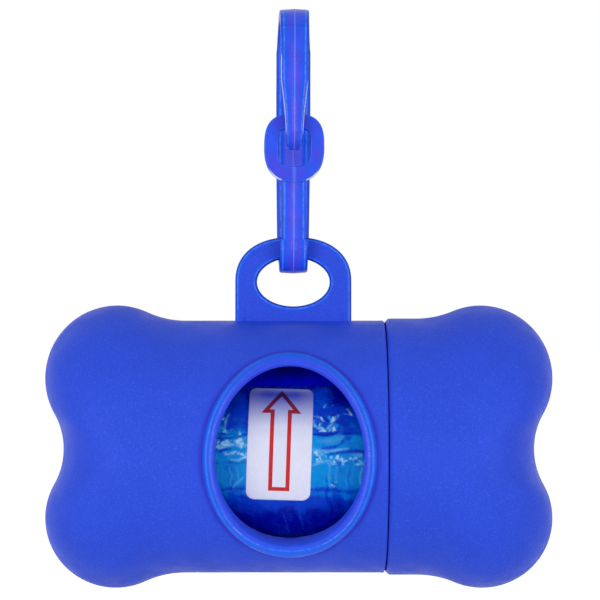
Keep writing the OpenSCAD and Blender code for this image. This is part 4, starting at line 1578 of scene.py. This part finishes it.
CAMERA_DISTANCE = 0.35
VIEW_WIDTH = 0.099          # width of the view at the object's middle
CAMERA_X = 1.1 * MM         # camera's axis to the right of the hook
CAMERA_RISE = 24.1 * MM     # and above the bone's axis
CAMERA_NEAR = 0.01
SENSOR = 36.0
FLOOR_DROP = 60 * MM        # floor under the bone's axis
FLOOR_HALF = 3.0
SKY_LEVEL = 0.56            # the world's light on the object
FLOOR_GLOW = 0.55           # brings the unshaded floor to white for the camera
LAMP_AIM = (0, 0, BONE_Z * 0.8)
LAMPS = {                   # place, width, height, and how bright a white face turned to it is
    "key": ((-0.4, -0.5, -0.03), 0.32, 0.16, 0.31),
    "fill": ((0.42, -0.5, -0.06), 0.34, 0.1, 0.25),
}


def seen_directly(tree):
    """1 for camera, glossy and transmission rays, and 0 for the others."""
    path = tree.node("ShaderNodeLightPath").outputs
    kinds = (path[f"Is {kind} Ray"] for kind in ("Camera", "Glossy", "Transmission"))
    return tree.math("MAXIMUM", *kinds)


@finish("pale floor", (120.0, 0.02), 0.9, depth=0.02, specular=0.1)
def floor_paint(tree, colours):
    """A floor that glows just enough for the camera to see it white where no shadow falls."""
    shader = tree.tree.nodes["Principled BSDF"].inputs
    tree.feed(shader["Emission Strength"], 1.0)
    tree.feed(shader["Emission Color"], tree.times(seen_directly(tree), FLOOR_GLOW))
    return colours.floor, tree.group(mould_grain(), Size=1.5)["Height"]


def build_stage():
    """World, floor, lamps and camera."""
    scene = bpy.context.scene
    scene.view_settings.view_transform = "Standard"
    world = bpy.data.worlds.new("pale studio")
    scene.world = world
    world.use_nodes = True
    sky = Wiring(world.node_tree)
    background = world.node_tree.nodes["Background"].inputs
    level = sky.node("ShaderNodeMapRange", {"Value": seen_directly(sky), 3: SKY_LEVEL, 4: 1.0})
    sky.feed(background["Color"], (1, 1, 1))
    sky.feed(background["Strength"], level.outputs["Result"])

    data = bpy.data.meshes.new("floor")
    corners = [(-1, -1), (1, -1), (1, 1), (-1, 1)]
    points = [(x * FLOOR_HALF, y * FLOOR_HALF, BONE_Z - FLOOR_DROP) for x, y in corners]
    data.from_pydata(points, [], [(0, 1, 2, 3)])
    data.materials.append(floor_paint())
    floor = put("floor", data)

    for name, (place, width, height, share) in LAMPS.items():
        aim = Vector(LAMP_AIM) - Vector(place)
        lamp = bpy.data.lights.new(name, "AREA")
        lamp.shape = "RECTANGLE"
        lamp.size = width
        lamp.size_y = height
        lamp.energy = share * (np.pi * aim.length) ** 2
        holder = put(name, lamp)
        holder.location = place
        holder.rotation_mode = "QUATERNION"
        holder.rotation_quaternion = aim.to_track_quat("-Z", "Y")

    lens = bpy.data.cameras.new("camera")
    lens.sensor_width = SENSOR
    lens.lens = SENSOR * CAMERA_DISTANCE / VIEW_WIDTH
    lens.clip_start = CAMERA_NEAR
    camera = put("camera", lens)
    camera.location = (CAMERA_X, -CAMERA_DISTANCE, BONE_Z + CAMERA_RISE)
    camera.rotation_euler = (np.pi / 2, 0, 0)
    scene.camera = camera


# ---- add-on ---------------------------------------------------------------


class DISPENSER_OT_shell(bpy.types.Operator):
    """Build the shell with its outlet and tab"""

    bl_idname = "dispenser.shell"
    bl_label = "Shell"

    def execute(self, context):
        build_shell(context.scene.dispenser_case)
        build_tab(context.scene.dispenser_case)
        return {"FINISHED"}


class DISPENSER_OT_cap(bpy.types.Operator):
    """Build the end cap"""

    bl_idname = "dispenser.cap"
    bl_label = "End Cap"

    def execute(self, context):
        build_cap(context.scene.dispenser_case)
        return {"FINISHED"}


class DISPENSER_OT_hook(bpy.types.Operator):
    """Build the snap hook with its catch ring and gate"""

    bl_idname = "dispenser.hook"
    bl_label = "Snap Hook"

    def execute(self, context):
        build_hook(context.scene.dispenser_hook)
        build_gate(context.scene.dispenser_hook)
        return {"FINISHED"}


class DISPENSER_OT_roll(bpy.types.Operator):
    """Build the roll of bags with its core and label"""

    bl_idname = "dispenser.roll"
    bl_label = "Bag Roll"

    def execute(self, context):
        build_roll(context.scene.dispenser_roll)
        build_label(context.scene.dispenser_roll)
        return {"FINISHED"}


class DISPENSER_OT_stage(bpy.types.Operator):
    """Set the pale studio, its lamps and the camera"""

    bl_idname = "dispenser.stage"
    bl_label = "Stage"

    def execute(self, context):
        build_stage()
        return {"FINISHED"}


OPERATORS = (
    DISPENSER_OT_shell,
    DISPENSER_OT_cap,
    DISPENSER_OT_hook,
    DISPENSER_OT_roll,
    DISPENSER_OT_stage,
)
GROUPS = {
    "dispenser_case": CaseSizes,
    "dispenser_hook": HookSizes,
    "dispenser_roll": RollSizes,
    "dispenser_finishes": Finishes,
}


class DISPENSER_PT_sidebar(bpy.types.Panel):
    """Lists the dispenser's builders and its sizes"""

    bl_idname = "DISPENSER_PT_sidebar"
    bl_label = "Bag Dispenser"
    bl_space_type = "VIEW_3D"
    bl_region_type = "UI"
    bl_category = "Dispenser"

    def draw(self, context):
        for operator in OPERATORS:
            self.layout.operator(operator.bl_idname)
        for name in GROUPS:
            group = getattr(context.scene, name)
            box = self.layout.box()
            for key in group.__annotations__:
                box.prop(group, key)


def register():
    for group in GROUPS.values():
        bpy.utils.register_class(group)
    for name, group in GROUPS.items():
        setattr(bpy.types.Scene, name, bpy.props.PointerProperty(type=group))
    for item in (*OPERATORS, DISPENSER_PT_sidebar):
        bpy.utils.register_class(item)


def unregister():
    for item in (DISPENSER_PT_sidebar, *reversed(OPERATORS)):
        bpy.utils.unregister_class(item)
    for name in GROUPS:
        delattr(bpy.types.Scene, name)
    for group in reversed(GROUPS.values()):
        bpy.utils.unregister_class(group)


def main():
    register()
    bpy.ops.dispenser.shell()
    bpy.ops.dispenser.cap()
    bpy.ops.dispenser.hook()
    bpy.ops.dispenser.roll()
    bpy.ops.dispenser.stage()


if __name__ == "__main__":
    main()
